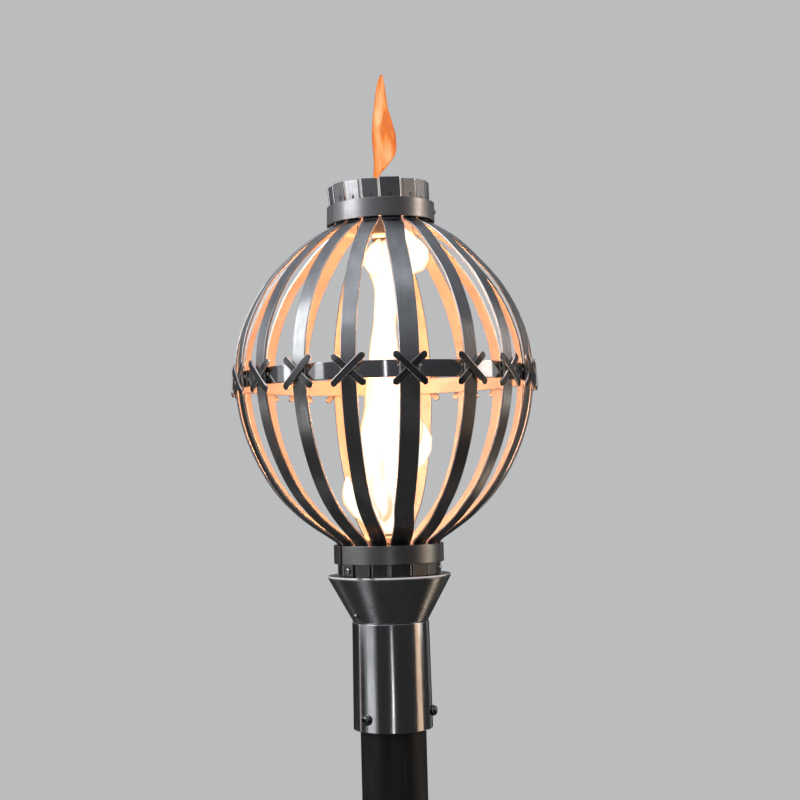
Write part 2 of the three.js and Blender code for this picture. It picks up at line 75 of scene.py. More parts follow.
PROFILE = [(58.9, 226.6), (58.9, 219), (58.9, 206), (58.9, 194), (58.9, 186), (58.95, 182.6), (59.3, 180.6),
           (60.4, 179.1), (63.6, 177.4), (70.4, 173.9), (77.5, 169.6), (91.0, 160.0), (103.5, 149.2), (114.6, 138.2),
           (124.2, 128.3), (132.7, 118.8), (140.4, 108.8), (147.1, 98.2), (153.0, 87.6),
           (158.3, 76.8), (163.0, 65.6), (167.0, 54.4), (170.2, 42.4), (172.4, 29.0),
           (173.7, 14.5), (173.9, 0), (173.2, -14.5), (171.4, -29.5), (168.8, -43.5),
           (165.2, -57.8), (160.5, -72.0), (155.0, -85.6), (148.8, -98.8), (141.5, -112.3),
           (133.0, -125.6), (123.5, -138.0), (113.0, -149.2), (101.5, -160.0), (88.0, -170.6),
           (74.0, -180.2), (68.6, -183.8), (64.4, -186.6), (61.6, -188.7), (60.4, -190.6), (59.95, -192.8),
           (59.9, -197), (59.9, -206), (59.9, -216), (59.9, -222), (59.9, -227.0)]
TOP_COLLAR = dict(ro=63.2, ri=61.0, z0=EQ + 182.0, z1=EQ + 204.0)
BOTTOM_COLLAR = dict(ro=63.9, ri=61.6, z0=EQ - 213.2, z1=EQ - 192.0)
HOOP = dict(ro=170.1, ri=167.3, z0=EQ - 9.5, z1=EQ + 9.5)
CROSS_L, CROSS_W, CROSS_T, CROSS_R, CROSS_DROP = 24.0, 3.9, 2.2, 174.25, 2.2
CROSS_ANGLES = [(43, -44, 0), (44, -43, 0), (45, -42, 0), (43, -45, 0), (46, -44, 1), (44, -46, 0),
                (43, -44, 1), (45, -43, 1), (44, -44, 0), (42, -45, 1), (45, -45, 0), (44, -42, 1),
                (43, -46, 0), (45, -44, 1), (44, -45, 0), (44, -43, 0), (43, -45, 0), (45, -43, 1),
                (43, -42, 1)]
SCREW_STRAPS = (16, 3, 9)
GLOBE_SCREW_Z = EQ - 220.2
CONE_SCREW_AZ, CONE_SCREW_Z = -55, EQ - 273
COCK_Z = 700


# =====================================================================
# mesh helpers
# =====================================================================
def at(az, r, t, z):
    a = np.radians(az)
    s, c = np.sin(a), np.cos(a)
    return np.stack(np.broadcast_arrays(r * s + t * c, -r * c + t * s, z), -1).astype(float)


def lean(v):
    """The hand-welded crown and top collar sit a little out of square to the cage."""
    w = np.clip((v[:, 2] - (EQ + 120)) / 60, 0, 1)
    w = w * w * (3 - 2 * w)
    v = v.copy()
    v[:, 2] += w * v[:, 0] * math.tan(math.radians(1.35))
    up = np.clip((v[:, 2] - (EQ + 199)) / 26, 0, 1.1)
    band = (np.hypot(v[:, 0], v[:, 1]) > 60.6) & (v[:, 2] > EQ + 181.5)
    v[:, :2] *= 1 + 0.017 * np.where(band, 0, up)[:, None]
    v[:, 0] -= np.where(band, -0.7 * w, 1.5 * up)
    return v


def rnd(seed):
    return np.random.default_rng(seed)


class Build:
    """Vertices, faces, a material number for each face and a grain vector for each vertex."""

    def __init__(self):
        self.v, self.f, self.m, self.g = [], [], [], []

    def add(self, verts, faces, mats=0, grain=None):
        verts = np.asarray(verts, float).reshape(-1, 3)
        base = len(self.v)
        vol = 0.0
        for f in faces:
            a = verts[f[0]]
            for i in range(1, len(f) - 1):
                vol += np.dot(a, np.cross(verts[f[i]], verts[f[i + 1]]))
        flip = vol < 0
        for f in faces:
            self.f.append([base + i for i in (f[::-1] if flip else f)])
        self.m += [mats] * len(faces) if isinstance(mats, int) else list(mats)
        self.v += verts.tolist()
        self.g += (verts if grain is None else np.asarray(grain, float).reshape(-1, 3)).tolist()

    def loft(self, rings, closed=False, mats=0, end_mat=None, grain=None, caps=True):
        """Skins rings (n, k, 3); mats is one number, or one for each of the k sides."""
        rings = np.asarray(rings, float)
        n, k = rings.shape[:2]
        faces, ms = [], []
        for i in range(n if closed else n - 1):
            j = (i + 1) % n
            for s in range(k):
                t = (s + 1) % k
                faces.append([i * k + s, i * k + t, j * k + t, j * k + s])
                ms.append(mats if isinstance(mats, int) else mats[s])
        if not closed and caps:
            em = (ms[0] if end_mat is None else end_mat)
            faces.append(list(range(k))[::-1])
            faces.append([(n - 1) * k + s for s in range(k)])
            ms += [em, em]
        self.add(rings.reshape(-1, 3), faces, ms, grain)

    def make(self, name, mats, body, slot=None, replaces=(), sharp=35, weld=1e-3, stage=False):
        me = bpy.data.meshes.new(name)
        v = np.array(self.v)
        if body == "cage":
            v = lean(v)
        v = v * MM
        me.from_pydata(v.tolist(), [], self.f)
        me.polygons.foreach_set("material_index", np.array(self.m, np.int32))
        at_ = me.attributes.new("grain", "FLOAT_VECTOR", "POINT")
        at_.data.foreach_set("vector", (np.array(self.g) * MM).astype(np.float32).ravel())
        bm = bmesh.new()
        bm.from_mesh(me)
        bmesh.ops.remove_doubles(bm, verts=bm.verts, dist=weld * MM)
        bmesh.ops.dissolve_degenerate(bm, edges=bm.edges, dist=weld * MM * 0.5)
        bm.to_mesh(me)
        bm.free()
        me.polygons.foreach_set("use_smooth", np.ones(len(me.polygons), bool))
        me.set_sharp_from_angle(angle=math.radians(sharp))
        for m in (mats if isinstance(mats, (list, tuple)) else [mats]):
            me.materials.append(m)
        me.update()
        ob = bpy.data.objects.new(name, me)
        bpy.context.scene.collection.objects.link(ob)
        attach(ob, body)
        if replaces:
            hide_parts(*replaces)
        return ob


def fillet(points, radius, n=3, hold=0.25):
    """A closed outline with rounded corners, and a point either side of each round that keeps the flats flat."""
    pts = [np.array(p, float) for p in points]
    k = len(pts)
    rad = radius if isinstance(radius, (list, tuple)) else [radius] * k
    out = []
    for i, p in enumerate(pts):
        a, b = pts[i - 1] - p, pts[(i + 1) % k] - p
        la, lb = np.linalg.norm(a), np.linalg.norm(b)
        a, b = a / la, b / lb
        rr = rad[i]
        cosv = float(np.clip(np.dot(a, b), -1, 1))
        ang = math.acos(cosv)
        if rr <= 0 or ang > math.radians(178):
            out.append(p)
            continue
        t = min(rr / math.tan(ang / 2), 0.42 * la, 0.42 * lb)
        rr = t * math.tan(ang / 2)
        c = p + (a + b) / np.linalg.norm(a + b) * (rr / math.sin(ang / 2))
        s, e = p + a * t, p + b * t
        h = min(hold, 0.3 * (la - 2 * t), 0.3 * (lb - 2 * t))
        if h > 0.01:
            out.append(s + a * h)
        a0, a1 = s - c, e - c
        w = math.acos(float(np.clip(np.dot(a0, a1) / (np.linalg.norm(a0) * np.linalg.norm(a1)), -1, 1)))
        for j in range(n + 1):
            q = j / n
            v = (math.sin((1 - q) * w) * a0 + math.sin(q * w) * a1) / max(math.sin(w), 1e-9)
            out.append(c + v)
        if h > 0.01:
            out.append(e + b * h)
    return np.array(out)


def lathe(b, profile, segs=160, az0=0.0, span=360.0, mats=0):
    """Turns a closed [r, z] outline about Z."""
    p = np.asarray(profile, float)
    closed = span >= 359.999
    az = az0 + np.linspace(0, span, segs + (0 if closed else 1), endpoint=not closed)
    rings = np.stack([at(a, p[:, 0], 0.0, p[:, 1]) for a in az])
    b.loft(rings, closed=closed, mats=mats)


def basis(az, tilt=0.0):
    """Columns: tangent, up, outward at an azimuth; tilt turns outward downwards, in degrees."""
    a, t = math.radians(az), math.radians(tilt)
    out = np.array([math.sin(a) * math.cos(t), -math.cos(a) * math.cos(t), -math.sin(t)])
    tan = np.array([math.cos(a), math.sin(a), 0.0])
    up = np.cross(out, tan)
    return np.stack([tan, up, out], 1)


def fastener(b, base, az, tilt, head_r, head_h, shank_r, shank_l, socket_r, turn=0.0, mats=(0, 1), dome=1.0):
    """A button-head screw with a hexagon socket; its head's underside is at base."""
    k = 48
    a = np.arange(k) / k * 2 * math.pi
    ring = lambda r, h: np.stack([r * np.cos(a), r * np.sin(a), np.full(k, h)], 1)

    def hexagon(r, h):
        s = (a + math.radians(turn)) % (math.pi / 3) - math.pi / 6
        q = r * math.cos(math.pi / 6) / np.cos(s)
        return np.stack([q * np.cos(a), q * np.sin(a), np.full(k, h)], 1)

    rings, mm = [], []
    rings += [ring(1e-4, -shank_l), ring(shank_r - 0.3, -shank_l), ring(shank_r, -shank_l + 0.3), ring(shank_r, 0),
              ring(head_r - 0.25, 0), ring(head_r, 0.25)]
    side = head_h * (0.38 - 0.28 * dome)
    rings.append(ring(head_r, side))
    last = side
    for i in range(1, 15):
        q = i / 15 * math.pi / 2
        r = head_r * math.cos(q)
        if r < socket_r * 1.2:
            break
        last = side + (head_h - side) * math.sin(q)
        rings.append(ring(r, last))
    top = last + 0.04 * head_h
    rings += [hexagon(socket_r * 1.12, top), hexagon(socket_r, top - 0.12 * socket_r), hexagon(socket_r * 0.98, head_h * 0.32),
              hexagon(socket_r * 0.5, head_h * 0.26), ring(1e-4, head_h * 0.2)]
    rings = np.array(rings)
    m = basis(az, tilt)
    world = rings @ m.T + np.asarray(base, float)
    n = len(rings)
    faces, ms = [], []
    for i in range(n - 1):
        for s in range(k):
            t = (s + 1) % k
            faces.append([i * k + s, i * k + t, (i + 1) * k + t, (i + 1) * k + s])
            # the socket's faces take the second material, painted shade
            ms.append(mats[1] if i >= n - 4 else mats[0])
    b.add(world.reshape(-1, 3), faces, ms)


def cut(ob, cutters):
    """Cuts closed tools out of an object's mesh, once, and leaves no modifier behind."""
    for c in cutters:
        mod = ob.modifiers.new("cut", "BOOLEAN")
        mod.operation, mod.solver, mod.object = "DIFFERENCE", "EXACT", c
    dg = bpy.context.evaluated_depsgraph_get()
    new = bpy.data.meshes.new_from_object(ob.evaluated_get(dg))
    mats = [m for m in ob.data.materials]
    ob.modifiers.clear()
    old = ob.data
    ob.data = new
    new.name = old.name + "_cut"
    new.materials.clear()
    for m in mats:
        new.materials.append(m)
    new.polygons.foreach_set("use_smooth", np.ones(len(new.polygons), bool))
    new.set_sharp_from_angle(angle=math.radians(32))
    for c in cutters:
        bpy.data.objects.remove(c)


def plug(name, base, az, r, l0, l1, k=32, tilt=0.0):
    """A closed cylinder along an outward direction, as a cutting tool."""
    a = np.arange(k) / k * 2 * math.pi
    m = basis(az, tilt)
    ring = lambda h: (np.stack([r * np.cos(a), r * np.sin(a), np.full(k, float(h))], 1) @ m.T + np.asarray(base, float)) * MM
    v = np.concatenate([ring(l0), ring(l1)])
    f = [[i, (i + 1) % k, k + (i + 1) % k, k + i] for i in range(k)]
    f += [list(range(k))[::-1], [k + i for i in range(k)]]
    me = bpy.data.meshes.new(name)
    me.from_pydata(v.tolist(), [], f)
    me.update()
    ob = bpy.data.objects.new(name, me)
    bpy.context.scene.collection.objects.link(ob)
    return ob


# =====================================================================
# materials
# =====================================================================
class Mat:
    def __init__(self, name):
        self.m = bpy.data.materials.new(name)
        self.m.use_nodes = True
        self.nt = self.m.node_tree
        self.bsdf = next(n for n in self.nt.nodes if n.type == "BSDF_PRINCIPLED")
        self.x = -1400

    def n(self, kind, **props):
        node = self.nt.nodes.new(kind)
        node.location = (self.x, 0)
        self.x += 30
        for k, v in props.items():
            setattr(node, k, v)
        return node

    def link(self, a, b):
        self.nt.links.new(a, b)

    def coords(self, kind="grain", scale=(1, 1, 1)):
        if kind == "grain":
            src = self.n("ShaderNodeAttribute", attribute_name="grain").outputs["Vector"]
        else:
            src = self.n("ShaderNodeTexCoord").outputs["Object"]
        mp = self.n("ShaderNodeMapping")
        mp.inputs["Scale"].default_value = scale
        self.link(src, mp.inputs["Vector"])
        return mp.outputs["Vector"]

    def noise(self, vec, scale=1.0, detail=3.0, rough=0.55, distortion=0.0):
        t = self.n("ShaderNodeTexNoise")
        t.inputs["Scale"].default_value = scale
        t.inputs["Detail"].default_value = detail
        t.inputs["Roughness"].default_value = rough
        t.inputs["Distortion"].default_value = distortion
        self.link(vec, t.inputs["Vector"])
        return t.outputs["Fac"]

    def ramp(self, fac, stops, interp="LINEAR"):
        r = self.n("ShaderNodeValToRGB")
        r.color_ramp.interpolation = interp
        els = r.color_ramp.elements
        while len(els) < len(stops):
            els.new(0.5)
        for e, (p, c) in zip(els, stops):
            e.position = p
            e.color = (*c, 1) if len(c) == 3 else c
        self.link(fac, r.inputs["Fac"])
        return r.outputs["Color"]

    def mixc(self, fac, a, b, mode="MIX"):
        m = self.n("ShaderNodeMix", data_type="RGBA", blend_type=mode)
        for s, v in ((m.inputs["Factor"], fac), (m.inputs["A"], a), (m.inputs["B"], b)):
            pass
        fi = m.inputs[0]
        ai, bi = m.inputs[6], m.inputs[7]
        for s, v in ((fi, fac), (ai, a), (bi, b)):
            if hasattr(v, "links") or hasattr(v, "is_linked"):
                self.link(v, s)
            elif isinstance(v, (int, float)):
                s.default_value = v
            else:
                s.default_value = (*v, 1)
        return m.outputs[2]

    def math(self, op, a, b=None, c=None, clamp=False):
        m = self.n("ShaderNodeMath", operation=op)
        m.use_clamp = clamp
        for i, v in enumerate((a, b, c)):
            if v is None:
                continue
            if isinstance(v, (int, float)):
                m.inputs[i].default_value = v
            else:
                self.link(v, m.inputs[i])
        return m.outputs[0]

    def remap(self, v, a0, a1, b0, b1):
        m = self.n("ShaderNodeMapRange")
        m.inputs["From Min"].default_value = a0
        m.inputs["From Max"].default_value = a1
        m.inputs["To Min"].default_value = b0
        m.inputs["To Max"].default_value = b1
        self.link(v, m.inputs["Value"])
        return m.outputs["Result"]

    def bump(self, h, strength, distance=0.0002, normal=None):
        b = self.n("ShaderNodeBump")
        b.inputs["Strength"].default_value = strength
        b.inputs["Distance"].default_value = distance
        self.link(h, b.inputs["Height"])
        if normal is not None:
            self.link(normal, b.inputs["Normal"])
        return b.outputs["Normal"]

    def put(self, socket, value):
        s = self.bsdf.inputs[socket]
        if hasattr(value, "is_linked") or hasattr(value, "links"):
            self.link(value, s)
        elif isinstance(value, (tuple, list)):
            s.default_value = (*value, 1)
        else:
            s.default_value = value


def steel(name, lo, hi, rough=(0.3, 0.4), kind="grain", streak=(1400, 18, 1400), smudge=(45, 28, 45),
          metallic=1.0, aniso=0.0, rot=0.0, bump=0.25, dirt_and_highlight_breaks=None, dirt_and_breaks_amount=0.0, streak_mix=0.5,
          wave=0.0, wave_scale=(30, 30, 12), foot_shade=None, dirt_and_breaks_from=(0.56, 0.74)):
    """Brushed or satin metal: fine streaks one way, broad smudges, slight dents, and darker patches, stains on most
    parts and breaks in the painted highlight on the rim; optionally painted shade towards the feet.
    """
    m = Mat(name)
    st = m.noise(m.coords(kind, streak), 1.0, 4.0, 0.62)
    sm = m.noise(m.coords(kind, smudge), 1.0, 3.0, 0.6, 0.4)
    a = m.math("MULTIPLY", st, streak_mix)
    f = m.math("MULTIPLY_ADD", sm, 1 - streak_mix, a)
    col = m.ramp(f, [(0.30, lo), (0.70, hi)])
    if dirt_and_highlight_breaks is not None:
        d = m.noise(m.coords(kind, tuple(s * 0.55 for s in smudge)), 1.0, 4.0, 0.65, 0.8)
        mask = m.remap(d, *dirt_and_breaks_from, 0.0, dirt_and_breaks_amount)
        col = m.mixc(mask, col, dirt_and_highlight_breaks)
    if foot_shade is not None:
        # painted shade: darker towards the feet and a little warmer below the equator, standing in for the dimmer light
        # that reaches the lower straps
        sep = m.n("ShaderNodeSeparateXYZ")
        m.link(m.n("ShaderNodeTexCoord").outputs["Object"], sep.inputs[0])
        height_shade = m.n("ShaderNodeCombineColor")
        for q, (f0, f1) in enumerate(((1.0, 1.0), (0.96, 0.98), (0.93, 0.96))):
            low = m.remap(sep.outputs["Z"], (EQ - 195) * MM, (EQ - 150) * MM, foot_shade * f1, 1.0)
            mid = m.remap(sep.outputs["Z"], (EQ - 70) * MM, (EQ + 10) * MM, f0, 1.0)
            m.link(m.math("MULTIPLY", low, mid), height_shade.inputs[q])
        col = m.mixc(1.0, col, height_shade.outputs[0], mode="MULTIPLY")
    m.put("Base Color", col)
    m.put("Metallic", metallic)
    m.put("Roughness", m.remap(f, 0.3, 0.7, rough[1], rough[0]))
    if aniso:
        m.put("Anisotropic", aniso)
        m.put("Anisotropic Rotation", rot)
    nrm = m.bump(st, bump, 0.00006)
    if wave:
        w = m.noise(m.coords(kind, wave_scale), 1.0, 1.0, 0.4)
        nrm = m.bump(w, wave, 0.004, nrm)
    m.put("Normal", nrm)
    return m.m


# the outer strap steel carries painted shade that darkens it towards the feet
STRAP_OUT = steel("strap_steel_outer", (0.22, 0.223, 0.23), (0.40, 0.405, 0.415), rough=(0.22, 0.38), foot_shade=0.55,
                  aniso=0.45, bump=0.22, dirt_and_highlight_breaks=(0.12, 0.115, 0.115), dirt_and_breaks_amount=0.5, wave=0.10, wave_scale=(20, 26, 20))
# the straps' inner faces and the crosses' undersides get a lighter, warmer, less metallic copy of the strap steel:
# painted flame light on the side that faces the flame
STRAP_IN_PAINTED_LIGHT = steel("strap_steel_inner", (0.42, 0.36, 0.30), (0.62, 0.56, 0.50), rough=(0.46, 0.6), metallic=0.55,
                 aniso=0.0, bump=0.25, dirt_and_highlight_breaks=(0.24, 0.15, 0.09), dirt_and_breaks_amount=0.4)
# the edge material is a much lighter copy of the strap steel: a painted highlight along the straps' edges and cut ends
STRAP_EDGE_HIGHLIGHT = steel("strap_steel_cut_edge", (0.55, 0.54, 0.54), (0.85, 0.84, 0.83), rough=(0.22, 0.36), bump=0.3,
                   streak=(300, 300, 1800))
BAND = steel("band_steel", (0.26, 0.257, 0.26), (0.38, 0.375, 0.38), rough=(0.32, 0.44), kind="object",
             streak=(60, 60, 1500), smudge=(22, 22, 40), bump=0.18, wave=0.10, wave_scale=(24, 24, 10),
             dirt_and_highlight_breaks=(0.20, 0.15, 0.13), dirt_and_breaks_amount=0.35)
BAND_LOW = steel("band_steel_dull", (0.25, 0.248, 0.245), (0.37, 0.366, 0.36), rough=(0.28, 0.42), kind="object",
                 streak=(60, 60, 1500), smudge=(40, 40, 60), bump=0.2, wave=0.10, wave_scale=(24, 24, 10),
                 dirt_and_highlight_breaks=(0.10, 0.085, 0.07), dirt_and_breaks_amount=0.5)
# the hoop's inner face gets the same lighter, warmer copy: painted flame light on the side that faces the flame
HOOP_IN_PAINTED_LIGHT = steel("hoop_steel_inner_painted_light", (0.42, 0.36, 0.30), (0.62, 0.56, 0.50), rough=(0.45, 0.58), metallic=0.55,
                kind="object", streak=(60, 60, 1500), smudge=(22, 22, 40), bump=0.2)
HOOP_OUT = steel("hoop_steel_outer", (0.34, 0.34, 0.35), (0.50, 0.50, 0.51), rough=(0.05, 0.10), kind="object",
                 streak=(60, 60, 1500), smudge=(22, 22, 40), bump=0.12, wave=0.08, wave_scale=(24, 24, 10))
CROSS = steel("cross_steel", (0.045, 0.045, 0.047), (0.115, 0.114, 0.118), rough=(0.36, 0.52), bump=0.4,
              dirt_and_highlight_breaks=(0.05, 0.045, 0.045), dirt_and_breaks_amount=0.5, streak=(1800, 30, 1800))
# the cross edge material is a much lighter copy of the cross steel: a painted highlight on the strips' sides and upper
# bevels
CROSS_EDGE_HIGHLIGHT = steel("cross_steel_edge", (0.45, 0.43, 0.43), (0.75, 0.73, 0.72), rough=(0.2, 0.34), bump=0.3,
                   streak=(1800, 60, 1800))
CONE = steel("cone_steel", (0.25, 0.25, 0.255), (0.38, 0.38, 0.385), rough=(0.2, 0.31), kind="object",
             streak=(160, 160, 700), smudge=(60, 60, 60), bump=0.05, wave=0.10, wave_scale=(26, 26, 14),
             dirt_and_highlight_breaks=(0.12, 0.11, 0.10), dirt_and_breaks_amount=0.4)
# the rim material is near white and mostly diffuse: a painted highlight along the seat plate's edge, whose dark patches
# break that highlight into segments
RIM_HIGHLIGHT = steel("rim_steel_painted_highlight", (0.85, 0.82, 0.81), (0.98, 0.96, 0.95), rough=(0.22, 0.4), kind="object", metallic=0.15,
            streak=(60, 60, 1500), smudge=(30, 30, 60), bump=0.15, dirt_and_highlight_breaks=(0.09, 0.07, 0.065), dirt_and_breaks_amount=0.9,
            dirt_and_breaks_from=(0.545, 0.60))
SLEEVE_MAT = steel("sleeve_steel", (0.50, 0.50, 0.51), (0.68, 0.68, 0.69), rough=(0.11, 0.2), kind="object",
                   streak=(420, 420, 26), smudge=(40, 40, 26), bump=0.16, wave=0.16, wave_scale=(34, 34, 9),
                   dirt_and_highlight_breaks=(0.3, 0.28, 0.26), dirt_and_breaks_amount=0.3)
SCREW = steel("screw_steel", (0.34, 0.34, 0.35), (0.6, 0.6, 0.61), rough=(0.12, 0.22), kind="object",
              streak=(500, 500, 500), smudge=(120, 120, 120), bump=0.15)
SCREW_DARK = steel("clamp_screw_steel", (0.10, 0.10, 0.105), (0.24, 0.24, 0.245), rough=(0.10, 0.2), kind="object",
                   streak=(500, 500, 500), smudge=(120, 120, 120), bump=0.15)
# the socket material is near black: painted shade in the screws' hexagon recesses
SOCKET_SHADE = steel("screw_socket_painted_shade", (0.03, 0.03, 0.032), (0.09, 0.09, 0.095), rough=(0.35, 0.5), kind="object",
               streak=(500, 500, 500), smudge=(120, 120, 120), bump=0.2)
WELD = steel("weld_bead", (0.35, 0.33, 0.31), (0.62, 0.58, 0.54), rough=(0.25, 0.45), kind="object",
             streak=(900, 900, 900), smudge=(200, 200, 200), bump=0.5, dirt_and_highlight_breaks=(0.15, 0.10, 0.12), dirt_and_breaks_amount=0.5)
WELD_DARK = steel("weld_mark", (0.05, 0.05, 0.052), (0.16, 0.155, 0.15), rough=(0.35, 0.55), kind="object",
                  streak=(900, 900, 900), smudge=(300, 300, 300), bump=0.5)
BURNER = steel("burner_steel", (0.06, 0.055, 0.05), (0.20, 0.17, 0.15), rough=(0.5, 0.75), kind="object",
               streak=(300, 300, 300), smudge=(70, 70, 70), bump=0.6, metallic=0.85, dirt_and_highlight_breaks=(0.22, 0.10, 0.05),
               dirt_and_breaks_amount=0.6)
BRASS = steel("brass", (0.42, 0.27, 0.08), (0.66, 0.46, 0.18), rough=(0.28, 0.45), kind="object",
              streak=(400, 400, 400), smudge=(60, 60, 60), bump=0.3)


def powder(name, base, spec_rough=(0.42, 0.55), grain=2600, bump=0.35, streaks=0.0):
    m = Mat(name)
    g = m.noise(m.coords("object", (grain, grain, grain)), 1.0, 2.0, 0.5)
    s = m.noise(m.coords("object", (60, 60, 9)), 1.0, 4.0, 0.6, 0.3)
    lo = tuple(c * 0.6 for c in base)
    hi = tuple(min(1, c * 1.7 + 0.004) for c in base)
    m.put("Base Color", m.ramp(s, [(0.3, lo), (0.55, base), (0.78, hi)]))
    m.put("Roughness", m.remap(s, 0.3, 0.7, spec_rough[0], spec_rough[1]))
    m.put("Metallic", 0.0)
    m.put("Specular IOR Level", 0.28)
    m.put("Normal", m.bump(g, bump, 0.00012))
    return m.m


POLE_MAT = powder("pole_powder_coat", (0.009, 0.009, 0.0095), spec_rough=(0.34, 0.48))
KNOB_MAT = powder("knob_phenolic", (0.012, 0.012, 0.0125), spec_rough=(0.32, 0.45), grain=900, bump=0.15)
PIPE_MAT = powder("supply_pipe_black_iron", (0.02, 0.02, 0.021), spec_rough=(0.4, 0.6), grain=900, bump=0.4)
HOSE_MAT = powder("gas_hose_rubber", (0.45, 0.30, 0.03), spec_rough=(0.45, 0.6), grain=1200, bump=0.3)


# =====================================================================
# camera: at the photograph's height, distance and angle
# =====================================================================
def camera():
    cam = bpy.data.cameras.new("camera")
    cam.lens, cam.sensor_width, cam.clip_start, cam.clip_end = 67.15, 36.0, 0.02, 60
    ob = bpy.data.objects.new("camera", cam)
    bpy.context.scene.collection.objects.link(ob)
    roll, pitch, yaw = math.radians(1.49), math.radians(2.98), math.atan(15.62 / 1492.3)
    right = Vector((math.cos(roll), 0, -math.sin(roll)))
    fwd = Vector((math.sin(roll) * math.sin(pitch), math.cos(pitch), math.cos(roll) * math.sin(pitch)))
    up = right.cross(fwd).normalized()
    turn = Matrix.Rotation(-yaw, 3, up)
    right, fwd = turn @ right, turn @ fwd
    m = Matrix((right, up, -fwd)).transposed().to_4x4()
    m.translation = Vector((-3.0, -1744.4, EQ - 115.3)) * MM
    ob.matrix_world = m
    bpy.context.scene.camera = ob
    return ob


camera()


# =====================================================================
# straps
# =====================================================================
def smooth_profile(points, per=3):
    """Catmull-Rom through the profile's points."""
    p = np.array(points, float)
    q = np.vstack([2 * p[0] - p[1], p, 2 * p[-1] - p[-2]])
    out = []
    for i in range(1, len(q) - 2):
        p0, p1, p2, p3 = q[i - 1:i + 3]
        seg = np.linalg.norm(p2 - p1)
        k = max(1, min(per, int(round(seg / 4.0))))
        for j in range(k):
            t = j / k
            out.append(0.5 * ((2 * p1) + (-p0 + p2) * t + (2 * p0 - 5 * p1 + 4 * p2 - p3) * t * t + (-p0 + 3 * p1 - 3 * p2 + p3) * t ** 3))
    out.append(p[-1])
    return np.array(out)


LINE = smooth_profile(PROFILE)
LINE = np.vstack([LINE[:1], [[58.9, 225.9]], LINE[1:-1], [[59.9, -226.5]], LINE[-1:]])
_tan = np.gradient(LINE, axis=0)
_tan /= np.linalg.norm(_tan, axis=1)[:, None]
INWARD = np.stack([_tan[:, 1], -_tan[:, 0]], 1)          # towards the axis
ARC = np.concatenate([[0], np.cumsum(np.linalg.norm(np.diff(LINE, axis=0), axis=1))])


def smoothstep(x, a, b):
    t = min(max((x - a) / (b - a), 0), 1)
    return t * t * (3 - 2 * t)


def strap_az(i, w):
    return STRAP_AZ[i] + w * ((STRAP_END_AZ[i] - STRAP_AZ[i] + 540) % 360 - 180)


def strap(i):
    half = WIDE_HALF if i == 0 else STRAP_HALF
    g = rnd(100 + i)
    az = STRAP_AZ[i]
    sec = fillet([(-half, 0), (half, 0), (half, STRAP_T), (-half, STRAP_T)], [0.95, 0.95, 0.5, 0.5], n=4, hold=0.35)
    # each side of the section takes a material: outer face, inner face or edge
    mats = []
    k = len(sec)
    for s in range(k):
        a, b = sec[s], sec[(s + 1) % k]
        mid = (a + b) / 2
        if mid[1] < 0.05:
            mats.append(0)
        elif mid[1] > STRAP_T - 0.05:
            mats.append(1)
        else:
            mats.append(2)
    wob = g.normal(0, 1, 4)
    top_d, top_s = g.uniform(-0.6, 1.3), g.uniform(-0.06, 0.06)
    twist = g.uniform(-1.6, 1.6)  # degrees, of the crown flat
    rings, grain = [], []
    for j, ((r, z), (nr, nz)) in enumerate(zip(LINE, INWARD)):
        t, n = sec[:, 0], sec[:, 1]
        tw = math.radians(twist) * np.clip((z - 184) / 30, 0, 1)
        w = smoothstep(abs(z), 145, 186)
        az = strap_az(i, w)
        wide = 1 + (SPREAD_BY if i in SPREAD else 0) * w + (0.02 if i in SPREAD else 0.01) * np.clip((z - 205) / 10, 0, 1)
        dent = 0.18 * math.sin(ARC[j] / 61.0 + wob[0] * 3) * np.clip(1 - abs(z) / 170, 0, 1)
        ends = {0: 0.7, len(LINE) - 1: 0.5}.get(j, 0.0)
        t = t * wide * (1 - ends / half)
        n = STRAP_T / 2 + (n - STRAP_T / 2) * (1 - 2 * ends / STRAP_T)
        rr = r + n * nr + t * math.sin(tw) + dent
        zz = z + n * nz
        if z > 212:
            zz = zz + (z - 212) / 14.6 * (top_d + top_s * t)
        side = 0.22 * math.sin(ARC[j] / 83.0 + wob[1] * 3) * np.clip(1 - abs(z) / 190, 0, 1)
        rings.append(at(az, rr, t + side, EQ + zz))
        grain.append(np.stack([t + 40 * i, np.full(k, ARC[j]) + 900 * i, n * 3], 1))
    b = Build()
    b.loft(rings, mats=mats, end_mat=2, grain=np.array(grain).reshape(-1, 3))
    b.m[:k] = [2] * k                    # the cut ends' chamfers take the edge material too, a painted highlight
    b.m[-2 - k:-2] = [2] * k
    name = "strap_%02d_formed" % (i + 1)
    ob = b.make(name, [STRAP_OUT, STRAP_IN_PAINTED_LIGHT, STRAP_EDGE_HIGHLIGHT], "cage", "strap_steel", ["strap_%02d" % (i + 1)])
    if i in SCREW_STRAPS:
        cut(ob, [plug("tool", (0, 0, GLOBE_SCREW_Z), STRAP_END_AZ[i], 2.6, 50, 66)])
    return ob


for i in range(len(STRAP_AZ)):
    strap(i)


